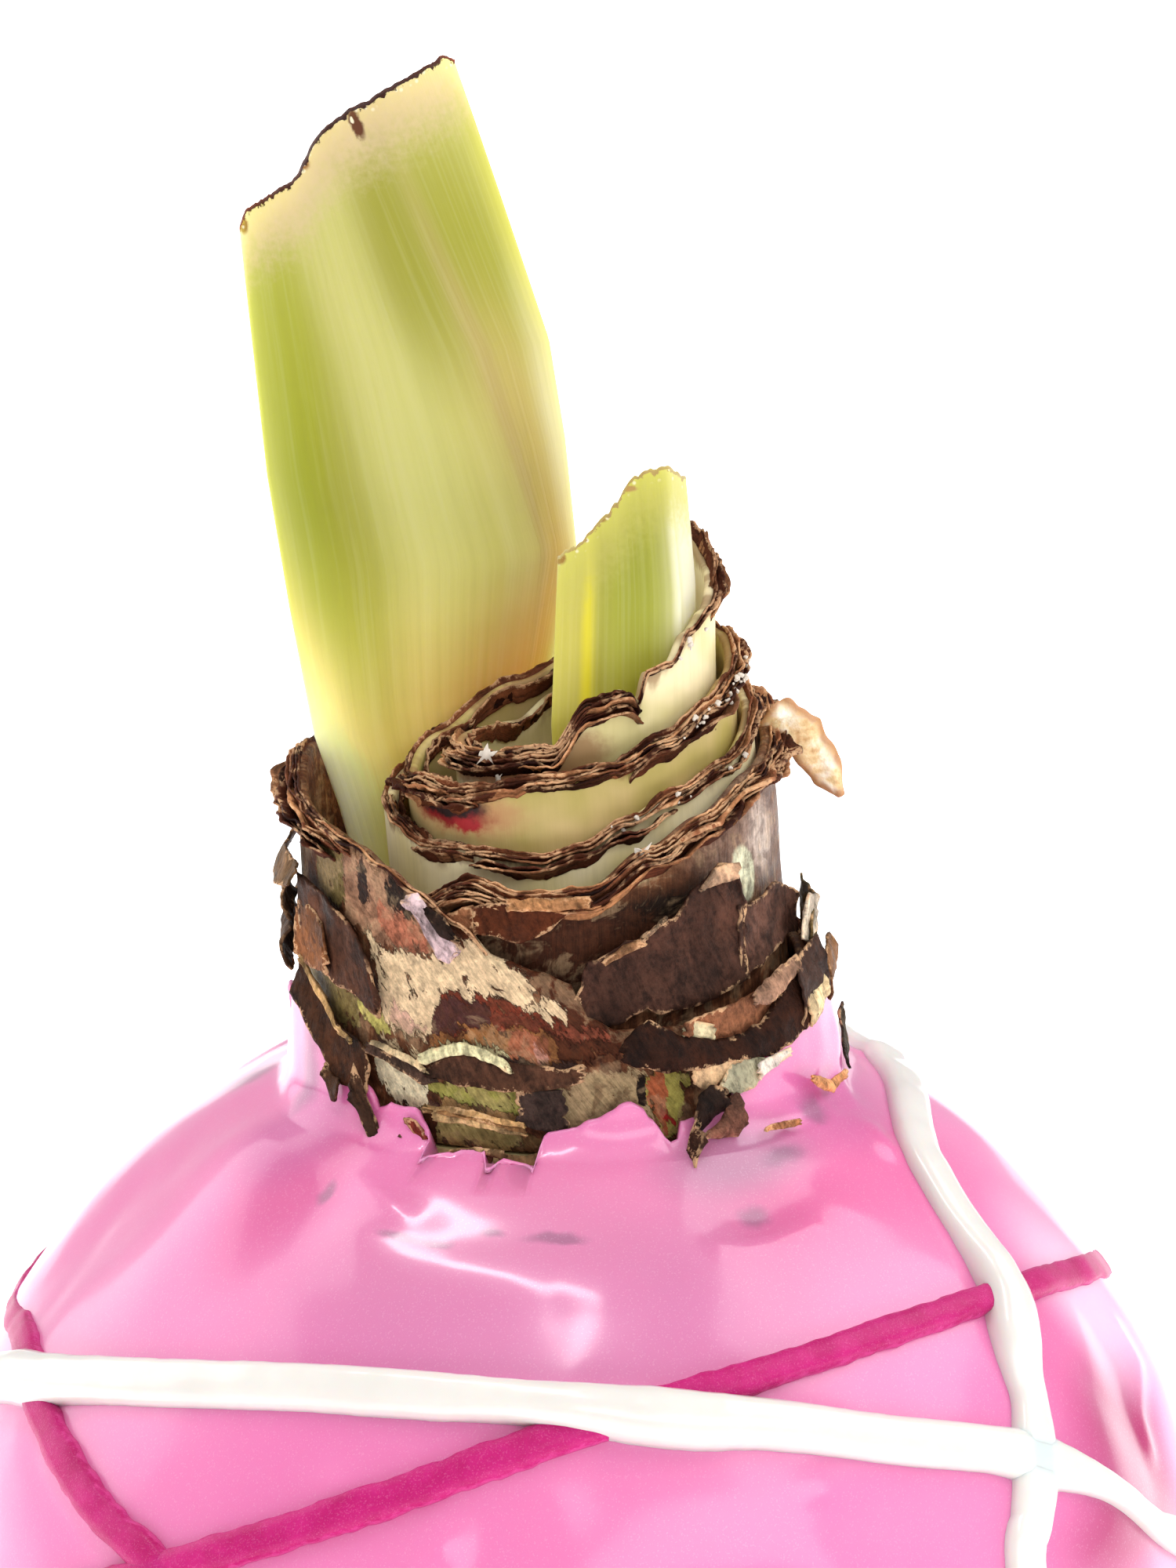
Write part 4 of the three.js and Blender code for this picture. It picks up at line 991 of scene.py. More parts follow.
# seed, start, end, (outside at its foot, outside at its edge), depth, height over the rim, colours, options
RIM_SHEETS = {
    "scale_1": [
        (1, -115, 13, (0.1, 0.95), 0.9, -1.15, (DARK, BROWN), {}),
        (2, -118, 12, (0.1, 0.7), 0.9, -0.75, (BROWN, TAN), {}),
        (3, -120, 12, (0.0, 0.45), 0.9, -0.35, (TAN, BROWN), {}),
        (4, -122, 11, (-0.2, 0.15), 0.9, 0.1, (BROWN, CREAM), {}),
        (5, -12, 13, (0.1, 1.2), 1.7, -0.1, (DARK, BROWN), {"tear": 0.15}),
        (6, 14, 150, (0.0, 0.2), 0.5, 0.1, (BROWN, TAN), {"tear": 0.15, "curl": 0.1}),
        (7, 64, 128, (0.0, 0.7), 1.8, 0.1, (BROWN, DARK), {"tear": 0.6, "curl": 0.5}),
        (8, 74, 122, (-0.3, 0.1), 1.4, 0.8, (TAN, BROWN), {"tear": 0.7}),
        (9, 120, 285, (-1.0, -1.3), 1.4, 0.1, (BROWN, TAN), {"tear": 0.4}),
    ],
    "scale_2": [
        (11, -180, 180, (-0.3, -0.15), 0.7, 0.15, (BROWN, TAN), {}),
        (12, -98, 60, (0.1, 0.65), 0.8, -0.5, (TAN, CREAM), {}),
        (13, -100, 70, (0.1, 0.4), 0.7, -0.1, (BROWN, CREAM), {}),
        (14, 10, 120, (0.1, 0.9), 1.7, -0.6, (DARK, BROWN), {}),
        (15, 20, 125, (0.1, 0.5), 1.2, -0.1, (TAN, CREAM), {"tear": 0.4}),
        (16, -92, -52, (0.2, 1.5), 1.2, -0.2, (TAN, CREAM), {"tear": 0.9, "curl": 0.6}),
        (17, -90, -44, (0.1, 1.1), 1.4, -0.7, (DARK, TAN), {"tear": 0.5}),
        (18, 118, 300, (-0.9, -1.4), 1.4, -0.2, (BROWN, TAN), {"tear": 0.4}),
    ],
    "scale_3": [
        (21, -100, -44, (-0.8, -0.55), 1.2, 0.2, (DARK, BROWN), {}),
        (22, -104, -50, (-0.6, -0.3), 0.9, 0.1, (BROWN, TAN), {"tear": 0.15}),
        (23, -68, -42, (0.05, 0.5), 0.9, -0.3, (DARK, BROWN), {}),
        (24, -44, 24, (0.1, 0.9), 0.6, -0.1, (TAN, BROWN), {"tear": 0.15}),
        (25, -42, 22, (0.1, 1.15), 1.3, -0.65, (BROWN, DARK), {}),
        (26, -180, 180, (-0.3, -0.15), 0.6, 0.15, (TAN, BROWN), {}),
        (27, 20, 140, (0.05, 0.35), 0.5, 0.0, (TAN, CREAM), {"tear": 0.2}),
        (28, 24, 110, (0.1, 0.5), 0.8, -0.4, (BROWN, DARK), {}),
        (29, 120, 300, (-0.9, -1.3), 1.2, -0.2, (BROWN, TAN), {"tear": 0.4}),
    ],
    "scale_4": [
        (31, -34, 108, (0.15, 1.1), 1.3, -1.0, (DARK, BROWN), {}),
        (32, -36, 112, (0.1, 0.8), 1.1, -0.6, (BROWN, TAN), {}),
        (33, -38, 116, (0.1, 0.45), 0.9, -0.2, (TAN, CREAM), {}),
        (34, -180, 180, (-0.2, 0.1), 0.8, 0.15, (BROWN, CREAM), {"tear": 0.4}),
        (35, 30, 96, (0.2, 1.3), 1.0, -0.7, (TAN, CREAM), {"tear": 0.4, "thickness": 0.3}),
        (36, -22, 14, (0.2, 1.1), 1.0, -1.2, (DARK, BROWN), {}),
        (37, 116, 250, (0.1, 0.9), 1.6, -0.5, (BROWN, TAN), {"tear": 0.5}),
    ],
    "outer_scale": [
        (41, -160, -56, (0.15, 1.2), 1.8, -1.2, (DARK, BROWN), {"tear": 0.4, "curl": 0.4}),
        (42, -162, -54, (0.1, 0.8), 1.4, -0.7, (BROWN, TAN), {"tear": 0.4}),
        (43, -166, -50, (0.05, 0.45), 1.2, -0.2, (TAN, BROWN), {"tear": 0.4}),
        (44, -180, -60, (-0.3, -0.1), 1.0, 0.15, (BROWN, TAN), {"tear": 0.35}),
        (45, 100, 215, (0.1, 0.9), 1.8, -0.5, (BROWN, TAN), {"tear": 0.5}),
        (46, 170, 250, (0.1, 0.5), 1.4, 0.0, (TAN, DARK), {"tear": 0.5}),
        (47, -64, -14, (-0.1, 0.4), 0.4, 0.05, (TAN, CREAM), {"tear": 0.2, "curl": 0.15}),
    ],
}


def dressed_scale(name, wall_finish, slot, foot_z, extras=()):
    """A scale's wall with the dried layers of its rim, joined in one piece."""
    wall = scale_wall(name, foot_z)
    wall.data.materials.append(wall_finish)
    sheets = []
    for seed, start, end, (low_out, high_out), depth, lift, tints, more in RIM_SHEETS[name]:
        sheets.append(rim_sheet(name, seed, start, end, (low_out, high_out), depth, lift, tints, **more))
        under = (DARK, BROWN) if tints[1] in (TAN, CREAM) else (BROWN, CREAM)
        sheets.append(rim_sheet(
            name, seed + UNDER_SEED, start, end, (low_out, high_out + UNDER_OUT), depth * UNDER_DEPTH,
            lift - UNDER_DROP, under, **more))
    for sheet in sheets:
        sheet.data.materials.append(dry_skin)
    return fit(join([wall, *sheets, *extras], name + "_dressed"), None, slot, name)


white_fibre = finish("white_fibre", 0xD6CABC, Roughness=0.8, Specular_IOR_Level=0.1)[0]
STARS = {  # place of the middle, size, turn in degrees, points
    "scale_1": [((-5.69, -9.3, 113.3), 0.75, 10, 5), ((-4.9, -9.4, 111.5), 0.35, 40, 4)],
    "scale_3": [((5.4, -14.4, 107.2), 0.9, -15, 5)],
}


def star(name, middle, size, turn, points):
    """A flat shred of white fibre with ragged arms, that faces the front."""
    rough = random.Random(name)
    bpy.ops.mesh.primitive_circle_add(vertices=points * 4, radius=1, fill_type="NGON")
    made = bpy.context.object
    made.name = made.data.name = name
    for i, vertex in enumerate(made.data.vertices):
        angle = radians(turn) + 2 * pi * (i + 0.5 * rough.random()) / (points * 4)
        out = size * (rough.uniform(0.4, 1.5) if i % 4 == 0 else rough.uniform(0.35, 0.85))
        away = Vector((cos(angle) * out, rough.uniform(-0.12, 0.12), sin(angle) * out))
        vertex.co = (Vector(middle) + away) * MM
    thicken(made, 0.12)
    made.data.materials.append(white_fibre)
    return made


def crumbs_on(name, start, end, count, out):
    """Small pale crumbs of dried sap along the front of a rim."""
    rough = random.Random(name)
    made = []
    for i in range(count):
        azimuth = rough.uniform(start, end)
        size = rough.uniform(0.07, 0.2)
        z = RIMS[name](azimuth) + rough.uniform(-0.9, 0.15)
        where = scale_point(name, azimuth, z, out + rough.uniform(0, 0.3))
        bpy.ops.mesh.primitive_ico_sphere_add(subdivisions=2, radius=size * MM, location=where * MM)
        crumb = bpy.context.object
        crumb.name = f"{name}_crumb_{i}"
        for vertex in crumb.data.vertices:
            vertex.co *= 1 + 1.1 * noise.noise(vertex.co * 6000 + Vector((i, 0, 0)))
        crumb.data.materials.append(white_fibre)
        made.append(crumb)
    return made


CRUMBS = {  # first and last azimuth, number, how far outside the scale
    "scale_1": (30, 75, 6, 0.4), "scale_2": (28, 78, 30, 0.7), "scale_3": (0, 60, 8, 0.6),
}
for name, wall_finish in PALE_FINISHES.items():
    extras = [star(f"{name}_star_{i}", *shape) for i, shape in enumerate(STARS.get(name, ()))]
    dressed_scale(name, wall_finish, "pale_scale", CORE_TOP_Z, [*extras, *crumbs_on(name, *CRUMBS[name])])

# ---- Fourth and outer scale -------------------------------------------------------------------------------
# The two scales outside are skinned over. Their skin has dried brown, peeled in places down to cream and
# green flesh, and is streaked with red where the bulb was bruised.
SKIN_LOW_Z, SKIN_HIGH_Z = 84, 112
SKIN_ACROSS, SKIN_DEEP = 18.3, 17.2
SKIN_SHIFT = 0.045  # radians that a ragged edge strays sideways; upwards it strays 1 mm
SKIN_EDGE = 0.13  # how soft an edge is, in millimetres
HOLE_MARGIN, HOLE_DEPTH = 0.5, 0.55  # holes reach in from an edge
LINE_TAIL = 0.4  # degrees past the end of a line where its region has closed
SKIN_LEVEL = 0.5
ROUGH, FINE = 1.0, 0.35
FIBRE_TURN = radians(-38)  # the fibres of the bruised side run up to the left
# Regions of skin, each between a lower and an upper line of [azimuth, height]: colour, level in the layers
# of skin, raggedness
OUTER_REGIONS = [
    # left: green brown, orange brown and green flesh
    ([(-80, 93), (-60, 92.5), (-48, 94.4)], [(-80, 98), (-62, 97.6), (-48, 96)], 0x7A683C, 0.3, ROUGH),
    ([(-76, 96.8), (-66, 96.6), (-56, 97.4)], [(-76, 100.6), (-66, 101), (-56, 98.6)], 0x96602F, 0.4, ROUGH),
    ([(-66, 102.6), (-58, 102), (-51, 103)], [(-66, 108), (-60, 108), (-51, 106.8)], 0x6A5A34, 0.2, ROUGH),
    ([(-51, 95.2), (-49, 93.9), (-44, 93.6), (-40, 93.6)],
     [(-51, 95.7), (-46, 95.6), (-43, 94.9), (-40, 93.8)], 0xB5AA5C, 0.3, FINE),
    # bruised streaks under the rim
    ([(-53, 101.5), (-46, 100.6), (-41, 100.2), (-30, 100.2), (-22, 100.4), (-18, 101.4)],
     [(-53, 107), (-41, 106), (-33, 105.4), (-27, 104.4), (-21, 103.4), (-16, 101.9)], 0x9C7358, 0.5, ROUGH),
    ([(-42, 101.8), (-36, 100.6), (-28, 100.3)], [(-42, 103.4), (-36, 103), (-28, 102.3)],
     0xA9664C, 0.5, ROUGH),
    ([(-48, 104), (-46, 102.6), (-44, 103)], [(-48, 106), (-46, 106.2), (-44, 104.6)], 0x2A1C17, 0.6, ROUGH),
    ([(-39, 103.8), (-35, 103), (-29, 102.8)], [(-39, 105.2), (-35, 105), (-29, 103.6)],
     0x251913, 0.6, ROUGH),
    ([(-27, 101.9), (-23, 101.4), (-19, 101.4)], [(-27, 104), (-22, 103.3), (-18, 102.2)],
     0x1E1410, 0.6, FINE),
    # red brown skin to the right of the bare flesh
    ([(-22, 94), (-10, 94), (0, 93), (14, 93)], [(-22, 103), (-10, 104), (0, 104), (14, 103)],
     0x4C2615, 0.8, FINE),
    # dark patch with a red margin
    ([(-31, 94), (-24.3, 94), (-19.8, 94.6), (-12, 94.8), (-6.6, 95), (3, 94.8)],
     [(-31, 97.6), (-24, 98.2), (-13, 98), (-6, 97.4), (4, 96.4)], 0x7A3422, 0.6, ROUGH),
    ([(-29.4, 94.2), (-24.3, 94.3), (-19.8, 94.9), (-14, 95)],
     [(-29.4, 96.6), (-25, 97.3), (-20, 97.2), (-14, 96.9)], 0x4B2A26, 0.7, ROUGH),
    ([(-14, 95.1), (-9.6, 95.4), (-6.6, 95.2), (1, 95)], [(-14, 96.6), (-9, 96.6), (-4, 96), (1, 95.5)],
     0x6A3323, 0.7, ROUGH),
    # orange brown under it
    ([(-30, 92.8), (-24, 93.6), (-15, 93.6), (-10, 93), (0, 92.6)],
     [(-30, 94.1), (-24.3, 94.4), (-19.8, 95), (-9.6, 95.4), (0, 94.9)], 0x8A5A33, 0.5, ROUGH),
    ([(-11, 92.8), (-6, 92.6), (-1.5, 92.4)], [(-11, 95), (-6, 94.9), (-1.5, 94.4)], 0x9A5B40, 0.5, ROUGH),
    # a painted pink highlight on the orange brown
    ([(-5.4, 93), (-1.8, 92.6)], [(-5.4, 94.2), (-1.8, 93.6)], 0xB98270, 0.5, ROUGH),
    ([(0, 94.4), (6, 94.4), (12, 94.2)], [(0, 95.6), (6, 95.4), (12, 95)], 0x7E402E, 0.6, ROUGH),
    # cream flesh laid bare
    ([(-47, 100.9), (-43.5, 99), (-42.8, 96.8), (-42.5, 95.4), (-40, 94.4), (-36.5, 94), (-32, 93.9),
      (-29.3, 93.9), (-28.5, 94.6), (-27.6, 96.2), (-24.4, 97.6), (-20.5, 97.5), (-17.4, 97.3),
      (-13.3, 97.3), (-7.6, 97), (-3, 96.3), (0.8, 95.7), (3.2, 95.6)],
     [(-47, 101.2), (-44, 100.8), (-41, 100.2), (-36, 99.9), (-28.5, 99.9), (-22, 100.3), (-19.5, 101.5),
      (-15, 101.8), (-11, 100.5), (-7.5, 99.7), (-4.7, 99), (-1.6, 97.7), (2, 96.9), (3.2, 96.4)],
     0xD9BD96, 0.1, ROUGH),
    ([(-40, 94.6), (-35, 94.2), (-30, 94.2)], [(-40, 96), (-35, 95.2), (-30, 94.9)], 0xC9A08A, 0.15, ROUGH),
    # curved cream strip over a dark eye
    ([(-30.5, 92.6), (-28.8, 92.3), (-25, 92.9), (-21, 93.3), (-16.5, 93.1), (-9.7, 92.5)],
     [(-30.5, 93), (-25, 93.8), (-20, 94.2), (-15.5, 93.9), (-10.5, 93.1), (-9.7, 92.7)],
     0xC9BF92, 0.2, FINE),
    ([(-29.4, 91.6), (-22.8, 91.1), (-11, 90.9), (-4, 91), (5, 91.6)],
     [(-29.4, 92.2), (-25, 92.9), (-21, 93.3), (-16.5, 93.1), (-6.5, 92.7), (5, 92.9)], 0x48342E, 0.3, FINE),
    # strips at the lower left
    ([(-44, 92.9), (-39, 92.4), (-34, 92.1), (-29.5, 91.8)],
     [(-44, 93.3), (-40.5, 93.2), (-33, 92.6), (-29.5, 92)], 0xDCC298, 0.6, FINE),
    ([(-45, 92.2), (-39.5, 91.7), (-31, 90.8), (-27, 91)],
     [(-45, 93), (-39, 92.4), (-29.5, 91.8), (-27, 91.4)], 0x45332A, 0.5, FINE),
    ([(-46, 91), (-42.5, 89.2), (-39.5, 88.4), (-31, 88.4)], [(-46, 92.2), (-39.8, 91.6), (-30.5, 90.8)],
     0xDCCFAC, 0.2, ROUGH),
    # green window, brown block, tan ribbons and the green hem
    ([(-31, 89.7), (-21.2, 89.2), (-12, 88.8), (-8, 88.7)], [(-31, 90.8), (-21.8, 91), (-8, 91)],
     0x9C964C, 0.1, FINE),
    ([(-9.4, 88.2), (-2, 87.8), (0.6, 88.2)], [(-9.4, 91), (-4, 91.1), (0.6, 91.2)], 0x403029, 0.5, FINE),
    ([(-29.5, 88.2), (-21.4, 88), (-8, 88)], [(-29.5, 89.5), (-21.2, 89.3), (-12, 88.9), (-8, 88.8)],
     0xAA8354, 0.6, FINE),
    ([(-31.5, 88.1), (-27, 88)], [(-31.5, 89.3), (-27, 89.3)], 0x4B2826, 0.5, ROUGH),
    ([(-29.5, 85), (-4, 85)], [(-29.5, 88), (-16.8, 88.2), (-9, 87.8), (-4, 86.8)], 0xA0905A, 0.1, FINE),
    ([(-13, 85), (-4, 85)], [(-13, 86.2), (-9, 87.4), (-4, 87.4)], 0x6E5535, 0.4, ROUGH),
    # fibrous hem, a painted black shadow left of the window, and a red and green window
    ([(-3, 86), (20, 86)], [(-3, 91), (3, 91.6), (10.8, 92.4), (20, 92)], 0x9C8562, 0.5, ROUGH),
    ([(16.4, 89.6), (18, 89.4), (20.4, 90)], [(16.4, 91.4), (18.4, 91.7), (20.4, 91.4)],
     0x1C120D, 0.1, FINE),
    ([(18.4, 89.8), (22.5, 86.6), (25, 87), (28, 89.6), (31, 91.3)], [(18.4, 91.2), (20.5, 92), (31, 91.5)],
     0x958B46, 0.1, FINE),
    ([(19, 89.6), (22.5, 86.9), (23.6, 87.4)], [(19, 91.3), (20.5, 91.9), (25, 91.8)], 0x9C5334, 0.1, ROUGH),
    ([(21.5, 88.5), (25.5, 87.6)], [(21.5, 88.9), (25.5, 88)], 0x8A1C1C, 0.1, FINE),
]
OUTER_PATCHES = [  # azimuth, height, half across, half up, turn in degrees, edge, colour
    (150, 98, 7, 3, 20, 0.2, 0xC9B48C), (165, 94, 6, 1.6, 0, 0.2, 0x8E4A34),
    (190, 92, 7, 1.4, 6, 0.2, 0xA09748), (206, 99, 6, 3.4, -20, 0.2, 0x5A3426),
    (232, 95, 6, 2.4, 14, 0.15, 0xCDB894), (120, 92, 5, 1.6, 0, 0.2, 0x45302A),
    (255, 98, 5, 3, -10, 0.3, 0x3A241C), (270, 104, 4, 3, 0, 0.3, 0x6B5536),
]
# On the fourth scale: the two near-black strips at azimuths 15 and 27 are painted shade in the hollow above
# the front flake, and the whitish patch at azimuth 66 is a painted sheen.
SCALE_4_PATCHES_AND_PAINTED_LIGHT = [
    (26, 104.6, 15, 4, -16, 0.4, 0x55331F), (36, 107.6, 10, 1.4, -20, 0.6, 0x7A5238),
    (15, 102.4, 9, 1.3, -12, 0.5, 0x24150E), (27, 103.2, 6, 0.8, -18, 0.5, 0x1C110B),
    (60, 107, 6, 4.6, 0, 0.5, 0x7D6050), (66, 106.4, 1.8, 2.6, -10, 0.6, 0xC0AC9E),
    (56, 104.3, 1.3, 2.2, -12, 0.12, 0xD3D0B0), (12, 105, 4.5, 0.6, -12, 0.3, 0x98906A),
    (0, 100, 8, 3.4, 0, 0.4, 0x3A1D10), (136, 104, 5, 2.2, 24, 0.3, 0x8A6547),
    (200, 104, 8, 3, 10, 0.4, 0x6A4A34),
]


def shade_of(colour, share):
    """A screen colour made darker, at a share of its brightness."""
    return sum(round((colour >> shift & 255) * share) << shift for shift in (16, 8, 0))


def line_at(tree, azimuth_share, keys, beyond):
    """The height of a line at an azimuth, as shares of the skin's range. Past its ends it lies beyond."""
    (first_at, first), (last_at, last) = keys[0], keys[-1]
    ends = [(first_at - LINE_TAIL, first + beyond), *keys, (last_at + LINE_TAIL, last + beyond)]
    made = node(tree, "ShaderNodeFloatCurve", {"Value": azimuth_share})
    points = made.mapping.curves[0].points
    shares = [((az + 90) / 180, (z - SKIN_LOW_Z) / (SKIN_HIGH_Z - SKIN_LOW_Z)) for az, z in ends]
    while len(points) < len(shares):
        points.new(0.5, 0.5)
    for point, share in zip(points, shares):
        point.location = share
        point.handle_type = "VECTOR"
    made.mapping.update()
    return made.outputs["Value"]


def span_plain(tree, value, low, high, to_low=0.0, to_high=1.0):
    """Maps a value from one range to another in proportion, also outside it."""
    made = node(tree, "ShaderNodeMapRange", {
        "Value": value, "From Min": low, "From Max": high, "To Min": to_low, "To Max": to_high}, clamp=False)
    return made.outputs["Result"]


def along_fibres(tree, point, turn, sizes):
    """The point in a frame that is turned with the fibres and measured in sizes."""
    return node(tree, "ShaderNodeMapping", {
        "Vector": point, "Rotation": (0, turn, 0), "Scale": sizes}, vector_type="TEXTURE").outputs["Vector"]


def skin_regions(tree, here, shade, level, regions):
    """Paints regions over a shade, sets each one's level in the layers of skin, and paints a shadow line
    along the regions' edges.
    """
    apart = node(tree, "ShaderNodeSeparateXYZ", {0: here})
    x, y, z = apart.outputs["X"], apart.outputs["Y"], apart.outputs["Z"]
    leaning = sums(tree, "MULTIPLY", sums(tree, "MAXIMUM", sums(tree, "SUBTRACT", z, SHOULDER_Z), 0.0),
                   tan(radians(NECK_LEAN)))
    right = sums(tree, "DIVIDE", sums(tree, "ADD", x, leaning), SKIN_ACROSS)
    azimuth = sums(tree, "ARCTAN2", right, sums(tree, "DIVIDE", y, -SKIN_DEEP))
    wobble = along_fibres(tree, here, FIBRE_TURN, (0.55, 0.6, 1.7))
    noises = node(tree, "ShaderNodeSeparateColor", {0: ragged_way(tree, wobble, 1.0, 6.0, 0.75)})
    places = {}
    for amount in (ROUGH, FINE):
        sideways = span_plain(tree, noises.outputs[0], 0.0, 1.0, -SKIN_SHIFT * amount, SKIN_SHIFT * amount)
        upwards = span_plain(tree, noises.outputs[1], 0.0, 1.0, -amount, amount)
        share = span_plain(tree, sums(tree, "ADD", azimuth, sideways), -pi / 2, pi / 2)
        height = span_plain(tree, sums(tree, "ADD", z, upwards), SKIN_LOW_Z, SKIN_HIGH_Z)
        places[amount] = (share, height)
    tall = SKIN_HIGH_Z - SKIN_LOW_Z
    soft = SKIN_EDGE / tall
    holes = span_plain(tree, clouds(tree, wobble, 1.6, 6.0, 0.7, 0.4), 0.36, 0.5, -HOLE_DEPTH / tall, 0.0)
    edge_shadow = 0.0
    for low, high, colour, at_level, amount in regions:
        share, height = places[amount]
        over = sums(tree, "SUBTRACT", height, line_at(tree, share, low, 8))
        under = sums(tree, "SUBTRACT", line_at(tree, share, high, -8), height)
        depth = sums(tree, "MINIMUM", sums(tree, "MINIMUM", over, under), HOLE_MARGIN / tall)
        mask = span(tree, sums(tree, "ADD", depth, holes), -soft, soft)
        shade = blend(tree, mask, shade, colour)
        level = node(tree, "ShaderNodeMix", {0: mask, 2: level, 3: at_level}).outputs[0]
        outside = sums(tree, "SUBTRACT", 1.0, mask)
        rim = sums(tree, "MULTIPLY", mask, outside)
        edge_shadow = sums(tree, "MAXIMUM", sums(tree, "MULTIPLY", edge_shadow, outside), rim)
    # A painted shadow along the edges of the regions, as if a torn layer cast it.
    shade = blend(tree, span(tree, edge_shadow, 0.04, 0.22, 0.0, 0.55), shade, 0x3A1C14)
    return shade, level


def skin_finish(name, scale, regions, patches, ragged_by):
    """Dried skin: brown, with fibres that run up it and bands that run round it. Its patches are ragged by
    so many millimetres."""
    made, tree, shader = finish(name, Roughness=0.5, Specular_IOR_Level=0.08, Subsurface_Weight=0.05,
                                Subsurface_Scale=0.6 * MM)
    grain, here = grain_of(tree), place_of(tree)
    fibres = stretched(tree, grain, (0.9, 0.9, 6), 4.0, 0.6, 0.6)
    bands = stretched(tree, grain, (10, 10, 1.4), 3.0, 0.55, 0.5)
    mixed = weighted(tree, (fibres, 0.5), (bands, 0.5))
    shade = ramp(tree, mixed, [
        (0.36, 0x2C180F), (0.46, 0x4E2C1B), (0.54, 0x70462D), (0.62, 0x906748), (0.72, 0xBA9670)])
    point = pushed(tree, here, ragged_way(tree, here, 0.9, 5.0, 0.7), (ragged_by,) * 3)
    for azimuth, z, across, up, turn, edge, colour in patches:
        centre = scale_point(scale, azimuth, z, 0) + Vector((0.5, 0.5, 0.5)) * ragged_by
        rotation = Euler((0, radians(turn), radians(azimuth)), "XYZ")
        shade = blend(tree, torn_patch(tree, point, centre, rotation, (across, 7, up), edge), shade, colour)
    level = SKIN_LEVEL
    if regions:
        shade, level = skin_regions(tree, here, shade, level, regions)
    drawn_out = along_fibres(tree, here, FIBRE_TURN if regions else 0, (0.22, 0.3, 2.6))
    fibre = clouds(tree, drawn_out, 1.0, 5.0, 0.7, 0.5)
    crumbs = clouds(tree, here, 0.7, 5.0, 0.7)
    stains = clouds(tree, here, 2.6, 4.0, 0.65, 0.8)
    worn = sums(tree, "MULTIPLY", span(tree, fibre, 0.34, 0.66, 0.72, 1.2),
                span(tree, crumbs, 0.32, 0.66, 0.74, 1.22))
    stained = sums(tree, "MULTIPLY", span(tree, stains, 0.5, 0.62, 0.0, 0.55),
                   span(tree, level, 0.1, 0.45, 0.3, 1.0))
    shade = blend(tree, stained, shade, 0x4A2A1A)
    shade = blend(tree, span(tree, stains, 0.5, 0.4, 0.0, 0.3), shade, 0xB49572)
    tree.links.new(lit(tree, shade, worn), shader.inputs["Base Color"])
    tree.links.new(span(tree, mixed, 0.35, 0.7, 0.34, 0.62), shader.inputs["Roughness"])
    relief = weighted(tree, (fibre, 0.2), (crumbs, 0.4))
    rough_up(tree, shader, sums(tree, "ADD", relief, level), 0.55)
    return made


scale_4_skin = skin_finish("scale_4_skin", "scale_4", [], SCALE_4_PATCHES_AND_PAINTED_LIGHT, 0.8)
dressed_scale("scale_4", scale_4_skin, "dried_scale", LEDGE_Z)
outer_skin = skin_finish("outer_skin", "outer_scale", OUTER_REGIONS, OUTER_PATCHES, 1.6)
dressed_scale("outer_scale", outer_skin, "dried_scale", LEDGE_Z)

# ---- Tall leaf --------------------------------------------------------------------------------------------
# A broad strap leaf, cut across while green. It is thick and soft, pale where the bulb shaded it, and its
# cut has dried to a thin dark line.
LEAF_FOOT_Z = 100.3


def along(keys):
    """A value that changes along a line, from [place, value] pairs in rising place, level past both ends."""
    def value_at(place):
        if place <= keys[0][0]:
            return keys[0][1]
        for (from_at, low), (to_at, high) in zip(keys, keys[1:]):
            if place <= to_at:
                return low + (high - low) * (place - from_at) / (to_at - from_at)
        return keys[-1][1]
    return value_at


TALL_TOP = along([
    (0, 149), (0.03, 150.3), (0.13, 151.5), (0.25, 152.9), (0.28, 153.9), (0.31, 154.6), (0.35, 155.7),
    (0.4, 156.5), (0.5, 157.6), (0.6, 158.3), (0.7, 159.2), (0.96, 161), (1, 160.6)])
TALL_LEFT = along([(100, -13.9), (106, -15), (111.5, -16.3), (121, -17.1), (131, -17.7), (149, -17.8)])
TALL_RIGHT = along([(100, -0.5), (114, 1.1), (124, 4), (132.6, 3.9), (140, 3.4), (150.4, 1), (161.3, -1.6)])
TALL_LEFT_BACK = along([(100, 1.5), (111, 1.5), (149, 0.5)])
TALL_RIGHT_BACK = along([(100, 9.5), (114, 8.5), (124, 7.5), (140, 6), (150, 4.5), (161, 3)])
TALL_BULGE = along([(100, 1), (120, 3), (161, 3.6)])
TALL_CREASE = along([(100, 0.9), (125, 0.86), (140, 0.72), (157, 0.56)])
TALL_THICKNESS = 1.9
TALL_FOLD_REACH, TALL_FOLD_DEPTH = 0.1, 0.7
CUT_ROWS = 4  # that close a blade over its cut
CUT_RUN, CUT_THINNING = 4, 0.6  # a blade gets thinner towards its cut
CUT_SWELL = 0.25
RIB_HEIGHT = 0.035
VEINS = 0.08
BRIGHTEST = 0.94  # that a leaf gets, where its shades and its painted light add up
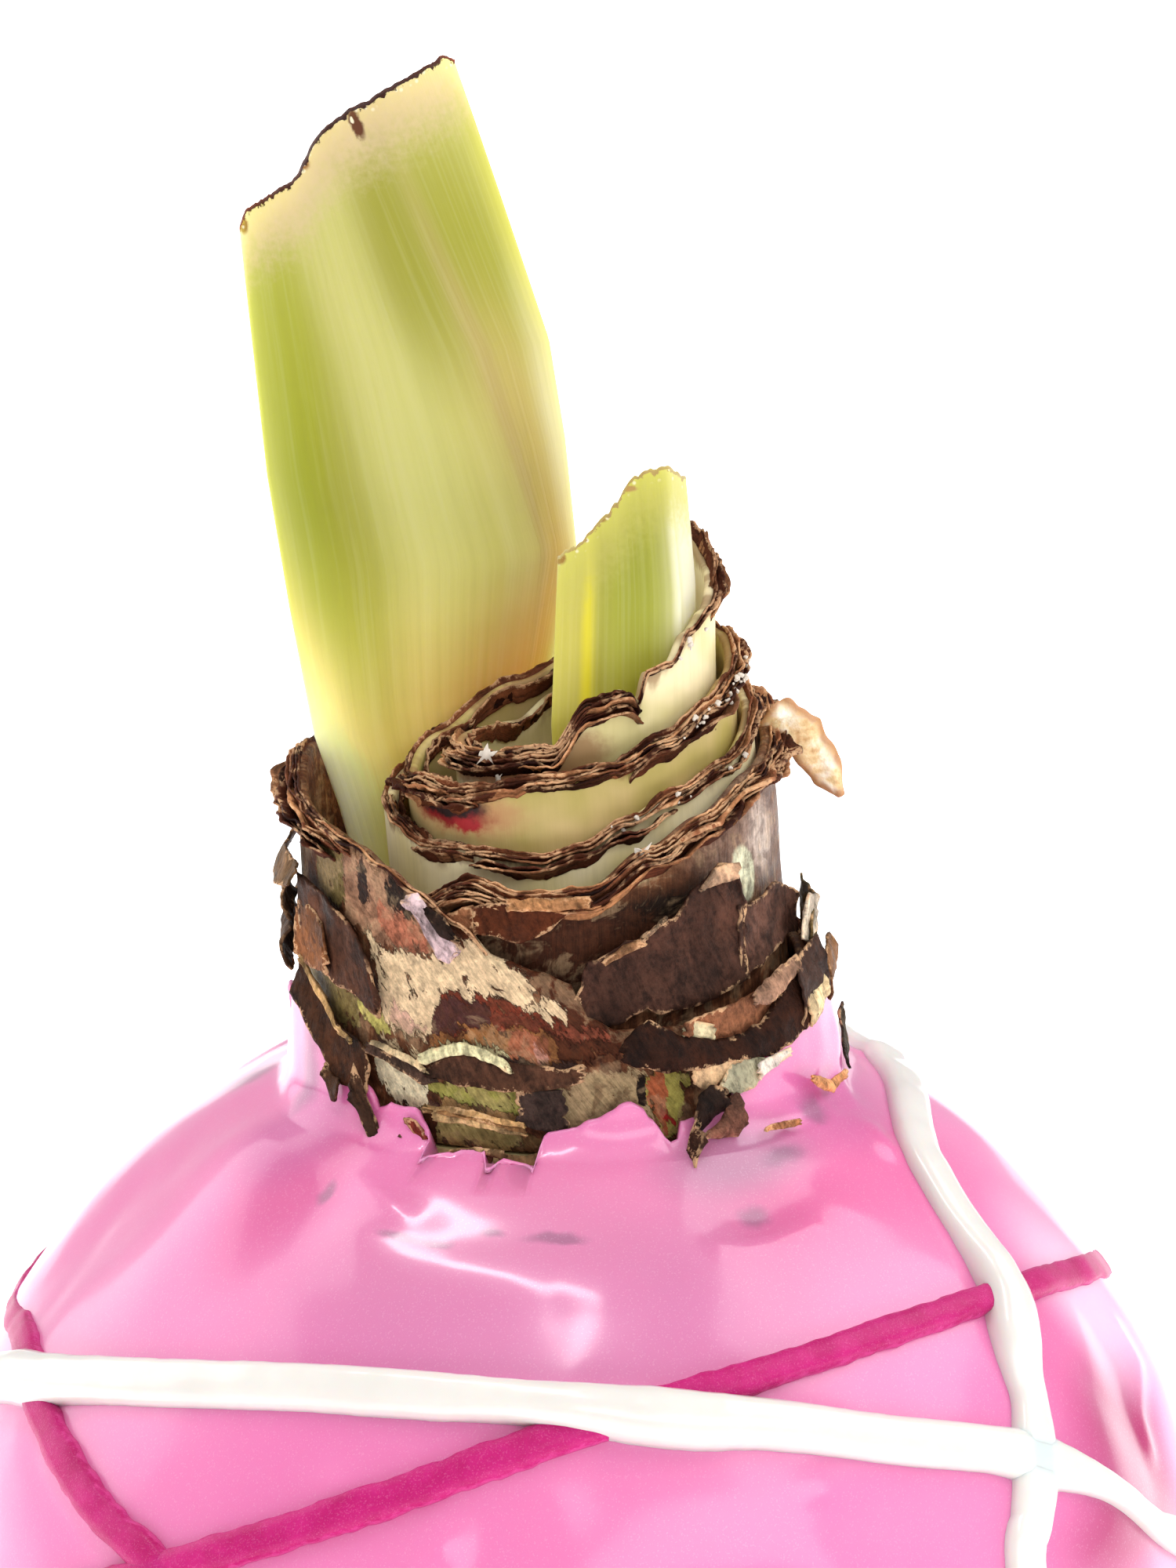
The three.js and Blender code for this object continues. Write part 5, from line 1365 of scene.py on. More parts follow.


def leaf_blade(name, columns, rows, top_at, middle_at, thickness, seed, crease_at, fringe=0.12):
    """A thick blade, round at its sides, and closed over its cut. middle_at(share, z) gives a point half way
    through it. The grain holds a share across, 1 on the crease and 2 at the right, the height, and how far
    below the cut it is, or less than 0 on it."""
    def parts(across, up):
        turn = 2 * pi * across
        share = (1 - cos(turn)) / 2
        row = round(up * (rows + CUT_ROWS))
        inwards = max(0, row - rows) / CUT_ROWS
        top = top_at(share) + fringe * noise.noise(Vector((share * 26, seed, 0)))
        top += 0.1 * noise.noise(Vector((share * 90, seed, 7)))
        return turn, share, LEAF_FOOT_Z + (top - LEAF_FOOT_Z) * min(1, row / rows), inwards, top

    def place(across, up):
        turn, share, z, inwards, top = parts(across, up)
        thin = 1 - CUT_THINNING * smooth(1 - (top - z) / CUT_RUN)
        half = thickness / 2 * thin * abs(sin(turn)) ** 0.75 * (1 - inwards)
        ribs = RIB_HEIGHT * noise.noise(Vector((share * 34, z * 0.02, seed)))
        side = -1 if sin(turn) > 0 else 1
        middle, back = middle_at(share, z)
        swollen = Vector((0, 0, CUT_SWELL * sin(pi * inwards / 2)))
        return middle + back * side * (half + ribs * (half > 0.1)) + swollen

    def grain(across, up):
        _, share, z, inwards, top = parts(across, up)
        crease = crease_at(z)
        fold = share / crease if share < crease else 1 + (share - crease) / (1 - crease)
        return Vector((fold, z, top - z - inwards * 2))

    return close_seams(bent_grid(name, columns, rows + CUT_ROWS, place, grain))


def tall_middle(share, z):
    """The middle of the tall leaf and the way it faces."""
    right = TALL_LEFT(z) + (TALL_RIGHT(z) - TALL_LEFT(z)) * share
    crease = exp(-((share - TALL_CREASE(z)) / TALL_FOLD_REACH) ** 2)
    bulge = TALL_BULGE(z) * 4 * share * (1 - share) - TALL_FOLD_DEPTH * crease
    back = TALL_LEFT_BACK(z) + (TALL_RIGHT_BACK(z) - TALL_LEFT_BACK(z)) * share - bulge
    return Vector((right + lean(z), back + TALL_THICKNESS / 2, z)), Vector((-0.3, 0.95, 0)).normalized()


def leaf_finish(name, base, shades, dried, cut_line, cut_band, painted_light_fade):
    """Leaf skin: soft shades laid over a base, with faint veins along it, and a dried line along its cut.
    Its colour also goes from one height and brightness to another, as painted light: brighter at its foot,
    which the neck shades, and darker higher up."""
    made, tree, shader = finish(
        name, Roughness=0.42, Subsurface_Weight=0.7, Subsurface_Scale=2.4 * MM, Specular_IOR_Level=0.2)
    shader.inputs["Subsurface Radius"].default_value = (0.9, 1.0, 0.4)
    grain = grain_of(tree)
    here = place_of(tree)
    colour = tone(base)
    for share, height, across, up, edge, strength, over in shades:
        mask = torn_patch(tree, grain, (share, height, 0), (0, 0, 0), (across, up, 99), edge)
        colour = blend(tree, sums(tree, "MULTIPLY", mask, strength), colour, over)
    lines = stretched(tree, grain, (0.035, 30, 99), 3.0, 0.55, 0.1)
    colour = blend(tree, span(tree, lines, 0.45, 0.7, 0.0, VEINS), colour, 0xF3EDC0)
    colour = blend(tree, span(tree, lines, 0.3, 0.5, VEINS, 0.0), colour, 0x9A9440)
    below = node(tree, "ShaderNodeSeparateXYZ", {0: grain}).outputs["Z"]
    ragged = clouds(tree, here, 0.5, 3.0)
    band = sums(tree, "ADD", below, span(tree, ragged, 0.2, 0.8, -0.8, 0.8))
    colour = blend(tree, span(tree, band, 0.8, 6, 0.85, 0.0), colour, cut_band)
    either_way = node(tree, "ShaderNodeCombineXYZ", {"X": ragged, "Y": ragged}).outputs["Vector"]
    for share, height, across, up, over in dried:
        point = pushed(tree, grain, either_way, (across * 0.9, up * 0.9, 0))
        centre = (share + across * 0.45, height + up * 0.45, 0)
        mask = torn_patch(tree, point, centre, (0, 0, 0), (across, up, 99), 0.3)
        colour = blend(tree, mask, colour, over)
    # Pale specks in a thin band just under the cut: painted highlights.
    pale = node(tree, "ShaderNodeTexVoronoi", {"Vector": here, "Scale": 1.5})
    near = sums(tree, "MULTIPLY", span(tree, below, 0.3, 0.9, 1.0, 0.0),
                span(tree, pale.outputs["Distance"], 0.1, 0.3, 0.7, 0.0))
    colour = blend(tree, near, colour, 0xFBF0E0)
    line = sums(tree, "ADD", below, span(tree, ragged, 0.3, 0.7, -0.3, 0.3))
    colour = blend(tree, span(tree, line, -0.12, 0.06, 1.0, 0.0), colour, cut_line)
    height = node(tree, "ShaderNodeSeparateXYZ", {0: grain}).outputs["Y"]
    # Painted light: the leaf is made brighter towards its foot and darker higher up.
    colour = lit(tree, colour, span(tree, height, *painted_light_fade))
    colour = node(tree, "ShaderNodeVectorMath", {0: colour, 1: (BRIGHTEST,) * 3}, operation="MINIMUM")
    tree.links.new(colour.outputs["Vector"], shader.inputs["Base Color"])
    rough_up(tree, shader, lines, 0.04)
    return made


TALL_SHADES = [  # share across, height, half across, half up, edge, strength, colour
    (0.9, 110, 1.4, 12, 0.8, 0.9, 0xD3B664), (0.3, 110, 0.4, 9, 0.8, 0.8, 0xDDCB7C),
    (1.0, 112, 0.3, 8, 0.8, 0.9, 0xDBB063), (1.4, 116, 0.35, 9, 0.8, 0.85, 0xE4B96A),
    (0.02, 106, 0.2, 10, 0.9, 1.0, 0xFFECB0), (0.18, 131, 0.15, 14, 0.9, 0.95, 0xA2A914),
    (0.32, 126, 0.14, 13, 0.9, 0.8, 0xA29F1E), (0.16, 142, 0.16, 8, 0.9, 0.6, 0xB2B422),
    (0.62, 136, 0.22, 15, 0.9, 0.8, 0xD6D17E), (0.88, 148, 0.17, 9, 0.8, 0.85, 0x9E9A30),
    (1.45, 147, 0.55, 10, 0.8, 0.9, 0xA8A630), (1.4, 133.5, 0.4, 8, 0.9, 0.8, 0xD6BC70),
    (1.14, 133, 0.12, 16, 0.8, 0.6, 0xC9B070), (1.95, 142, 0.12, 14, 0.8, 0.6, 0xD8D060),
    (1.9, 129, 0.22, 12, 0.8, 0.9, 0xF0E4BC), (1.6, 121, 0.4, 8, 0.9, 0.7, 0xE2BE70),
]
TALL_DRIED = [  # share across, height, half across, half up, colour
    # the brown nick near the top, with a white fleck in it that is a painted highlight
    (0.93, 157, 0.045, 1.1, 0x6B3A20), (0.91, 157.2, 0.012, 0.25, 0xF6E8D8),
    (0.02, 149.4, 0.03, 0.6, 0x8A4A2A), (0.46, 154.2, 0.06, 0.5, 0x9A6438),
]
tall_green = leaf_finish("tall_leaf_green", 0xCFCA74, TALL_SHADES, TALL_DRIED, 0x34120E, 0xE6CDA4,
                         (106, 130, 1.36, 0.71))
tall_leaf = leaf_blade("tall_leaf_blade", 240, 110, TALL_TOP, tall_middle, TALL_THICKNESS, 7, TALL_CREASE)
fit(tall_leaf, tall_green, "leaf", "tall_leaf")

# ---- Short leaf -------------------------------------------------------------------------------------------
# A younger leaf beside it, folded along its keel, with a bright yellow crease and a torn, browned top.
SHORT_KEEL = 0.8
SHORT_THICKNESS = 1.2
SHORT_BACK = -4.7
SHORT_FOLD, SHORT_BULGE = 2.5, 0.5
SHORT_CREASE, SHORT_CREASE_REACH, SHORT_CREASE_DEPTH = 0.3, 0.07, 0.35
SHORT_TOP = along([
    (0, 126.2), (0.04, 126.6), (0.12, 127), (0.2, 127.8), (0.3, 128.9), (0.42, 130.2), (0.52, 131.8),
    (0.62, 132.5), (0.8, 132.9), (0.88, 132.2), (1, 131.4)])
SHORT_LEFT = along([(100, 0.8), (114, 1.3), (126.6, 2.9)])
SHORT_KEEL_LINE = along([(100, 9.9), (124, 11.4), (133.5, 11.3)])
SHORT_RIGHT = along([(100, 11), (124, 12.5), (132, 12.5)])


def short_middle(share, z):
    """The middle of the short leaf and the way it faces."""
    to_keel, past_keel = min(1, share / SHORT_KEEL), max(0, (share - SHORT_KEEL) / (1 - SHORT_KEEL))
    right = SHORT_LEFT(z) + (SHORT_KEEL_LINE(z) - SHORT_LEFT(z)) * to_keel
    right += (SHORT_RIGHT(z) - SHORT_KEEL_LINE(z)) * past_keel
    crease = exp(-((share - SHORT_CREASE) / SHORT_CREASE_REACH) ** 2)
    bulge = SHORT_BULGE * 4 * to_keel * (1 - to_keel)
    back = SHORT_BACK + SHORT_FOLD * past_keel - bulge + SHORT_CREASE_DEPTH * crease
    facing = Vector((-0.45 * past_keel, 1, 0)).normalized()
    return Vector((right + lean(z), back + SHORT_THICKNESS / 2, z)), facing


SHORT_SHADES = [
    (0.1, 118, 0.26, 20, 0.5, 0.9, 0xCABF5C), (0.68, 122, 0.3, 12, 0.8, 0.85, 0x9FA332),
    (0.6, 112, 0.36, 7, 0.8, 0.6, 0xB4A94A), (1.7, 122, 0.7, 22, 0.4, 0.95, 0xF1ECD0),
    (1.0, 124, 0.05, 16, 0.7, 0.6, 0xF6F3DA), (0.26, 118, 0.045, 14, 0.8, 0.9, 0xE0D232),
]
SHORT_DRIED = [
    (0.01, 126.4, 0.06, 0.5, 0x8A4F30), (0.37, 129.3, 0.07, 0.25, 0xA07848),
    (0.94, 133.7, 0.17, 0.3, 0xA8845A), (1.8, 132.2, 0.3, 0.3, 0xA8714A), (0.62, 131.6, 0.1, 0.25, 0xB48C5C),
]
short_green = leaf_finish("short_leaf_green", 0xC2BE4E, SHORT_SHADES, SHORT_DRIED, 0xA98A60, 0xCCC468,
                          (112, 128, 1.1, 0.74))
short_leaf = leaf_blade(
    "short_leaf_blade", 140, 70, SHORT_TOP, short_middle, SHORT_THICKNESS, 9, lambda z: SHORT_KEEL, 0.3)
fit(short_leaf, short_green, "leaf", "short_leaf")

# ---- Torn tunic -------------------------------------------------------------------------------------------
# What is left of the dry outer skins: brown flakes that cling to the neck, curled at their torn edges, with
# small scraps between them and caught in the wax.
SCRAP_TEAR, SCRAP_THICKNESS, SCRAP_GAP = 0.3, 0.2, 0.25
SCRAP_SEED, FLAKE_SEEDS = 60, 20
RADIAN = 57.3  # degrees
FLAKES = {  # scale it lies on; then each scrap: lower edge, upper edge, lift low, middle and high, colour
    "tunic_chip": ("scale_4", [
        ([(-18.4, 102.1), (-13.8, 101.9), (-10.8, 101.6), (-8, 101.4), (-4.3, 101.8), (-0.8, 102.4),
          (2.8, 103.4), (8.3, 104.1)],
         [(-18.6, 104), (-13.5, 104.3), (-5.3, 104.5), (-1.5, 104.4), (4, 104.8), (8.5, 104.9)],
         (1.1, 1, 1.2), 0x462212),
        ([(-24.5, 102.9), (-22, 101.9), (-20, 101.6), (-18.5, 102)],
         [(-24.5, 103.1), (-21, 103.9), (-18.5, 104.1)], (1.2, 1.2, 1.3), 0x7A5036),
        # a pale strip along the top of the chip: painted highlight on its rim
        ([(-10, 103.9), (0, 103.9), (8, 104.2)], [(-10, 104.7), (0, 104.8), (8, 105.1)],
         (1.3, 1.4, 1.4), 0xA9784E),
    ]),
    "tunic_front": ("scale_4", [
        ([(4.2, 97.3), (5, 95.9), (7.5, 95.3), (14, 95.2), (16.5, 95.9), (20.3, 96.3), (22.8, 95.9),
          (30, 95.9), (39.5, 96.4), (49, 97.2)],
         [(4.2, 97.6), (6.2, 98.6), (6.8, 100.1), (13.3, 100.8), (16, 101.4), (20, 101.5), (24, 102.3),
          (29.2, 102.8), (34.2, 104.6), (36.5, 104.8), (39, 105.4), (42, 106.1), (46.5, 105.9),
          (47.5, 104.4), (49, 102.9)], (0.9, 0.8, 1), 0x3F2820),
        ([(47, 97), (60, 98.2), (69, 98.8), (76, 99)],
         [(47, 102.8), (52, 102.5), (58.5, 102.8), (62.5, 103.3), (66, 103), (72, 102.2), (76, 101.5)],
         (0.9, 0.8, 1), 0x4E352B),
        # a lighter strip along the fold at its top edge: painted highlight on the fold
        ([(11, 99.9), (16, 100.6), (20.3, 101.2)], [(11, 100.3), (16, 101.2), (20.5, 101.6)],
         (1.2, 1.3, 1.4), 0x8A6243),
        ([(36, 104.3), (40, 104.6), (46.5, 104.9)], [(36, 104.8), (40, 106), (46.8, 106.1)],
         (1.1, 1.3, 1.4), 0xB08D70),
        ([(20, 101.4), (25, 102.7)], [(20, 101.9), (25.5, 103.2)], (1.5, 1.6, 1.6), 0x7D6550),
    ]),
    "tunic_band": ("outer_scale", [
        ([(28, 93.9), (35, 93.3), (43, 93.2), (52, 94), (58, 95)],
         [(28, 95.4), (37.5, 96), (45, 96.3), (55, 97.3), (60, 97.8)], (0.5, 0.7, 0.9), 0x84543A),
        ([(27.5, 93.9), (34, 93.5)], [(27.5, 95.2), (31, 95.5), (35, 95)], (0.8, 0.9, 0.9), 0xB3A482),
        ([(13, 93.3), (18.8, 92.6), (22, 92.2), (37, 92.4), (47.5, 92), (55, 92.5), (60.5, 92.9),
          (65, 93.6)],
         [(13, 94.2), (14.5, 94.9), (17, 95.6), (20, 96.1), (22.8, 95.4), (28.7, 94.5), (35, 93.9), (43, 94),
          (51.5, 94.9), (57, 96), (61, 97.2), (65, 97.4)], (1.7, 1.6, 1), 0x2B160D),
        ([(45, 95.9), (50, 95.7), (56, 96.4), (61, 97)], [(45, 96.6), (52, 97.3), (57, 98), (62, 98.4)],
         (1.4, 1.5, 1.2), 0x8C6A55),
        ([(60, 92.8), (66, 93.4), (74, 94.4)], [(60, 97.6), (66, 98.2), (74, 98.6)],
         (1.6, 1.9, 1.3), 0x3F2C24),
        ([(61.5, 92.9), (66, 93.2), (72, 94.4)], [(61.5, 95.6), (66, 96), (72, 96)],
         (1.9, 2, 1.6), 0xD8BC90),
        ([(27.6, 91.2), (30.6, 90.3), (32.4, 90.9), (38, 92)],
         [(27.6, 92.1), (31, 92.5), (36, 92.7), (39, 92.3)], (1.5, 1.6, 1.6), 0xCAA67E),
        ([(33.5, 90.2), (38, 89.8), (42, 90), (46, 91.2)], [(33.5, 91), (37, 92.2), (42, 92.3), (46, 91.9)],
         (1.6, 1.6, 1.6), 0xA59E82),
        ([(43, 90.6), (52, 91.6)], [(43, 91.8), (48, 92), (53, 92.3)], (1.9, 1.9, 1.9), 0xD3C6B8),
        ([(27.5, 87.3), (31, 87), (35.5, 86.9), (37, 87.6)],
         [(27.5, 87.6), (32, 88.4), (34.5, 90), (36.5, 90.3), (37.3, 89.6)], (2, 2.6, 2.2), 0x7A5040),
        ([(26, 87.4), (28.5, 87.8), (31, 88.6), (33, 88.9)], [(26, 88.8), (28, 90.4), (31, 91), (34, 90.6)],
         (1.8, 2.3, 1.9), 0x2C1C15),
        ([(21.8, 84.4), (22.6, 85), (24, 86.6), (26.5, 87.6)],
         [(21.8, 84.9), (23.2, 86.2), (25, 88), (26.5, 89)], (3.6, 2.6, 2.2), 0x3A251B),
        ([(57, 89.3), (61, 88.2), (66, 87.6), (72, 87.9)], [(57, 89.8), (61, 89.3), (66, 88.5), (72, 88.6)],
         (2.3, 2.5, 2.3), 0xC98A5A),
        ([(41, 87.1), (50, 86.9)], [(41, 87.5), (50.5, 87.2)], (2.7, 2.7, 2.7), 0xB97A50),
        ([(82, 87.5), (88, 88.2), (96, 89.4)], [(82, 88.4), (88, 89.8), (96, 91.2)],
         (2, 1.9, 1.7), 0x3C3228),
    ]),
    "tunic_hem": ("outer_scale", [
        ([(-29.4, 91.6), (-22.8, 91.1), (-11, 90.9), (-4, 91), (5, 92)],
         [(-29.4, 92.1), (-25, 92.9), (-21, 93.3), (-16.5, 93.1), (-6.5, 92.7), (5, 92.9)],
         (0.55, 0.35, 0.25), 0x4A2F22),
        ([(-30.5, 92.6), (-28.8, 92.3), (-25, 92.9), (-21, 93.3), (-16.5, 93.1), (-10, 92.5)],
         [(-30.5, 93), (-25, 93.8), (-20, 94.2), (-15.5, 93.9), (-10.5, 93), (-10, 92.6)],
         (0.6, 0.5, 0.25), 0xCFC59A),
        ([(-43.8, 93), (-39, 92.4), (-34, 92.1), (-29.5, 91.8)],
         [(-43.8, 93.2), (-40.5, 93.2), (-33, 92.6), (-29, 92)], (0.7, 0.6, 0.4), 0xD9BF95),
        ([(-45, 92.2), (-39.5, 91.7), (-35.5, 91.2), (-31, 90.8), (-27, 91.1)],
         [(-45, 93), (-39, 92.4), (-29.5, 91.8), (-27, 91.4)], (0.5, 0.4, 0.3), 0x45332A),
        ([(-30, 89.2), (-21.4, 88.9), (-12, 88.5), (-8, 88.3)],
         [(-30, 89.6), (-21.2, 89.3), (-12, 88.9), (-8, 88.7)], (0.7, 0.6, 0.45), 0xB58C5E),
        ([(-30, 88.8), (-21.4, 88.5), (-12, 88.2), (-8, 88)],
         [(-30, 89.3), (-21.2, 89), (-12, 88.6), (-8, 88.4)], (0.7, 0.6, 0.45), 0x8A6440),
        ([(-28, 88.4), (-21.4, 88.2), (-12, 87.9), (-8, 87.8)],
         [(-28, 88.9), (-21.2, 88.6), (-12, 88.3), (-8, 88.1)], (0.7, 0.6, 0.45), 0xC09A6C),
        ([(-9.2, 88.6), (-5.5, 88.1), (-2, 88), (0.5, 88.3)], [(-9.2, 90.9), (-4, 91), (0.5, 91.2)],
         (0.5, 0.4, 0.4), 0x3D2E28),
        ([(-34.5, 86.6), (-31, 85.9), (-28.3, 85.7)], [(-34.5, 87), (-31, 86.6), (-28.3, 86)],
         (1.9, 1.9, 1.9), 0x5A3A28),
        ([(-28, 85.4), (-24, 84.9), (-23, 85.5)], [(-28, 85.6), (-25, 86), (-22.5, 85.9)],
         (2.2, 2.1, 2), 0x5A3A28),
        ([(-17.8, 84.6), (-15, 84.6)], [(-18.2, 86.6), (-14.8, 86.6)], (2.8, 2, 1.7), 0x5A3A28),
        ([(-23, 86.2), (-20, 86.6), (-17, 86.7), (-12, 86.2)], [(-23, 86.8), (-18, 87.1), (-12, 87)],
         (1.9, 1.9, 1.8), 0x6E5338),
        ([(-13, 85.8), (-9, 85.4), (-5, 85.4)], [(-13, 86.6), (-8, 86.5), (-4, 86.9)],
         (2.2, 1.9, 1.6), 0x6E5338),
        ([(-33.5, 87.9), (-31, 87), (-29.3, 86.8)], [(-33.5, 88.4), (-31, 88.2), (-29.3, 87.6)],
         (1.6, 1.6, 1.6), 0x6B2A20),
    ]),
    "tunic_left": ("outer_scale", [
        ([(-72, 98.5), (-66, 97.6), (-60, 96.8), (-55, 96.4), (-50, 96.2), (-45, 95.5), (-41, 95)],
         [(-72, 103.4), (-66, 103.2), (-58, 102.6), (-52, 101.7), (-49, 101.2), (-46, 100.2), (-43, 98.8),
          (-41.5, 97.5), (-40.5, 96)], (0.5, 0.45, 0.5), 0x4C3023),
        ([(-74, 97.2), (-66, 96.8), (-58, 97.2)], [(-74, 100.6), (-66, 101.4), (-60, 100.6), (-57, 99)],
         (0.8, 0.7, 0.6), 0x6E4429),
        ([(-72, 94.3), (-66, 93.2), (-62, 92.4), (-58, 91.2), (-55, 90.2), (-51, 89.6), (-47.5, 89.7),
          (-44, 88.2)],
         [(-72, 97), (-66, 96), (-60, 94.9), (-55, 93.6), (-49, 93), (-45.5, 92.3), (-44, 91.5)],
         (1.5, 1, 0.6), 0x3E2416),
        ([(-72, 96.6), (-66, 95.6), (-60, 94.5), (-55, 93.2), (-49, 92.6)],
         [(-72, 97.1), (-66, 96.1), (-60, 95), (-55, 93.7), (-49, 93)], (0.8, 0.8, 0.7), 0xA98557),
        ([(-55.5, 89.9), (-53.5, 88.2), (-52, 88.2), (-50.5, 89.3)], [(-55.5, 90.8), (-53, 90), (-50.5, 90)],
         (2, 2, 1.8), 0x4A2F1E),
        ([(-46, 89), (-43.5, 87.3), (-41.5, 86.3), (-39.3, 86.1)],
         [(-46, 91.6), (-43.5, 89.8), (-41.5, 88), (-39.3, 86.5)], (2.2, 2, 1.6), 0x3D281C),
        ([(-112, 102.6), (-96, 101.6), (-80, 102), (-66, 103.2)],
         [(-112, 104.6), (-96, 104), (-80, 104.4), (-66, 104.6)], (1.9, 1.4, 0.9), 0x6D5238),
        ([(-108, 96.4), (-92, 95.4), (-78, 95.6)], [(-108, 99.8), (-92, 99.4), (-78, 98.6)],
         (0.8, 1.6, 0.7), 0x4A3526),
        ([(-100, 99.6), (-80, 99)], [(-100, 101.8), (-80, 101.8)], (0.6, 1.3, 0.9), 0x5C4430),
        ([(-31, 104.2), (-29, 103), (-27, 101.6), (-24.5, 100.3), (-22, 100.1), (-19.5, 101)],
         [(-31, 104.6), (-28.5, 104.8), (-26, 103.6), (-23, 102.6), (-19.5, 101.4)],
         (0.6, 0.7, 0.5), 0xC4A9AB),
        ([(-26, 103.6), (-23, 102), (-19, 101.6)], [(-26, 104.1), (-22, 103.5), (-19, 102)],
         (0.9, 0.9, 0.8), 0x241812),
    ]),
    "tunic_right": ("outer_scale", [
        ([(74, 95), (84, 95.2), (96, 94.8), (110, 93.6)], [(74, 99.4), (84, 100.4), (96, 99.6), (110, 99.8)],
         (0.5, 0.8, 1.1), 0x57492C),
        ([(70, 98.6), (76, 97.8), (82, 98.2)], [(70, 101), (76, 101.4), (82, 100.6)],
         (0.9, 1.1, 1.3), 0xD8C6AE),
        ([(76, 93.4), (84, 94), (92, 94.4)], [(76, 96.6), (84, 97.4), (92, 97)], (1.4, 1.9, 1.6), 0x7A5538),
    ]),
    "tunic_back_right": ("scale_4", [
        ([(116, 99), (140, 100.5), (168, 103.2)], [(116, 105.6), (130, 108), (150, 106.6), (168, 108.4)],
         (0.9, 0.7, 1.2), 0x4B322A),
        ([(128, 98.4), (146, 99.6)], [(128, 102), (146, 103.4)], (1.6, 1.2, 1.6), 0x8A6243),
    ]),
    "tunic_back_left": ("outer_scale", [
        ([(176, 93), (200, 91.8), (222, 92.6), (238, 94)],
         [(176, 98.6), (192, 101), (212, 99.4), (226, 103), (238, 101)], (1.2, 0.7, 1.1), 0x5A3826),
        ([(186, 91), (206, 90.6), (220, 91.4)], [(186, 93.4), (206, 94.6), (220, 93.8)],
         (1.9, 1.3, 1.2), 0x8A6440),
    ]),
}


def scrap(name, on, low, high, lifts, colour, seed):
    """A dry scrap that lies on a scale, between two torn edges."""
    size = SCALES[on][1][2]
    low_lift, middle_lift, high_lift = lifts
    start, end = min(low[0][0], high[0][0]), max(low[-1][0], high[-1][0])
    wide = (end - start) / RADIAN * size
    low_at, high_at = along(low), along(high)
    middle_az = (start + end) / 2
    rows = max(6, min(20, round((high_at(middle_az) - low_at(middle_az)) / 0.22)))
    columns = max(12, round((end - start) / 0.6))
    tear = min(SCRAP_TEAR, 0.06 * wide)

    def levels(across, up):
        azimuth = start + (end - start) * across
        low_z = low_at(azimuth) + torn(azimuth, seed, tear)
        high_z = max(high_at(azimuth) + torn(azimuth, seed + 50, tear), low_z + 0.12)
        side = 0.5 * noise.noise(Vector((up * 5, seed, round(across)))) * abs(2 * across - 1)
        return azimuth + side / size * RADIAN, low_z + (high_z - low_z) * up, high_z - low_z

    def place(across, up):
        azimuth, z, _ = levels(across, up)
        away = low_lift * (1 - up) * (1 - 2 * up) + middle_lift * 4 * up * (1 - up)
        away += high_lift * up * (2 * up - 1)
        here = Vector((azimuth * size / RADIAN, z, seed))
        away += 0.22 * noise.noise(here * 0.5) + 0.12 * noise.noise(here * 1.4)
        away += 0.3 * min(1, wide / 6) * abs(2 * across - 1) ** 6
        return scale_point(on, azimuth, z, SCRAP_GAP + away)

    def grain(across, up):
        azimuth, z, _ = levels(across, up)
        return Vector((azimuth / RADIAN * size * 1.7 + z * 0.5, z * 0.6, seed))

    def tint_at(across, up):
        azimuth, z, tall = levels(across, up)
        share = 0.5 + 1.1 * noise.noise(Vector((azimuth * 0.12, z * 0.25, seed)))
        edge = min(up * tall, (1 - up) * tall, across * wide, (1 - across) * wide)
        return [*between(shade_of(colour, 0.82), shade_of(colour, 1.14), share)[:3], edge]

    made = bent_grid(name, columns, rows, place, grain)
    tinted(made, columns, rows, tint_at)
    return thicken(made, SCRAP_THICKNESS)


for seed, (name, (on, scraps)) in enumerate(FLAKES.items()):
    first_seed = SCRAP_SEED + seed * FLAKE_SEEDS
    pieces = [scrap(f"{name}_{i}", on, *shape, seed=first_seed + i) for i, shape in enumerate(scraps)]
    fit(join(pieces, name + "_dry"), dry_skin, "dry_tunic", name)

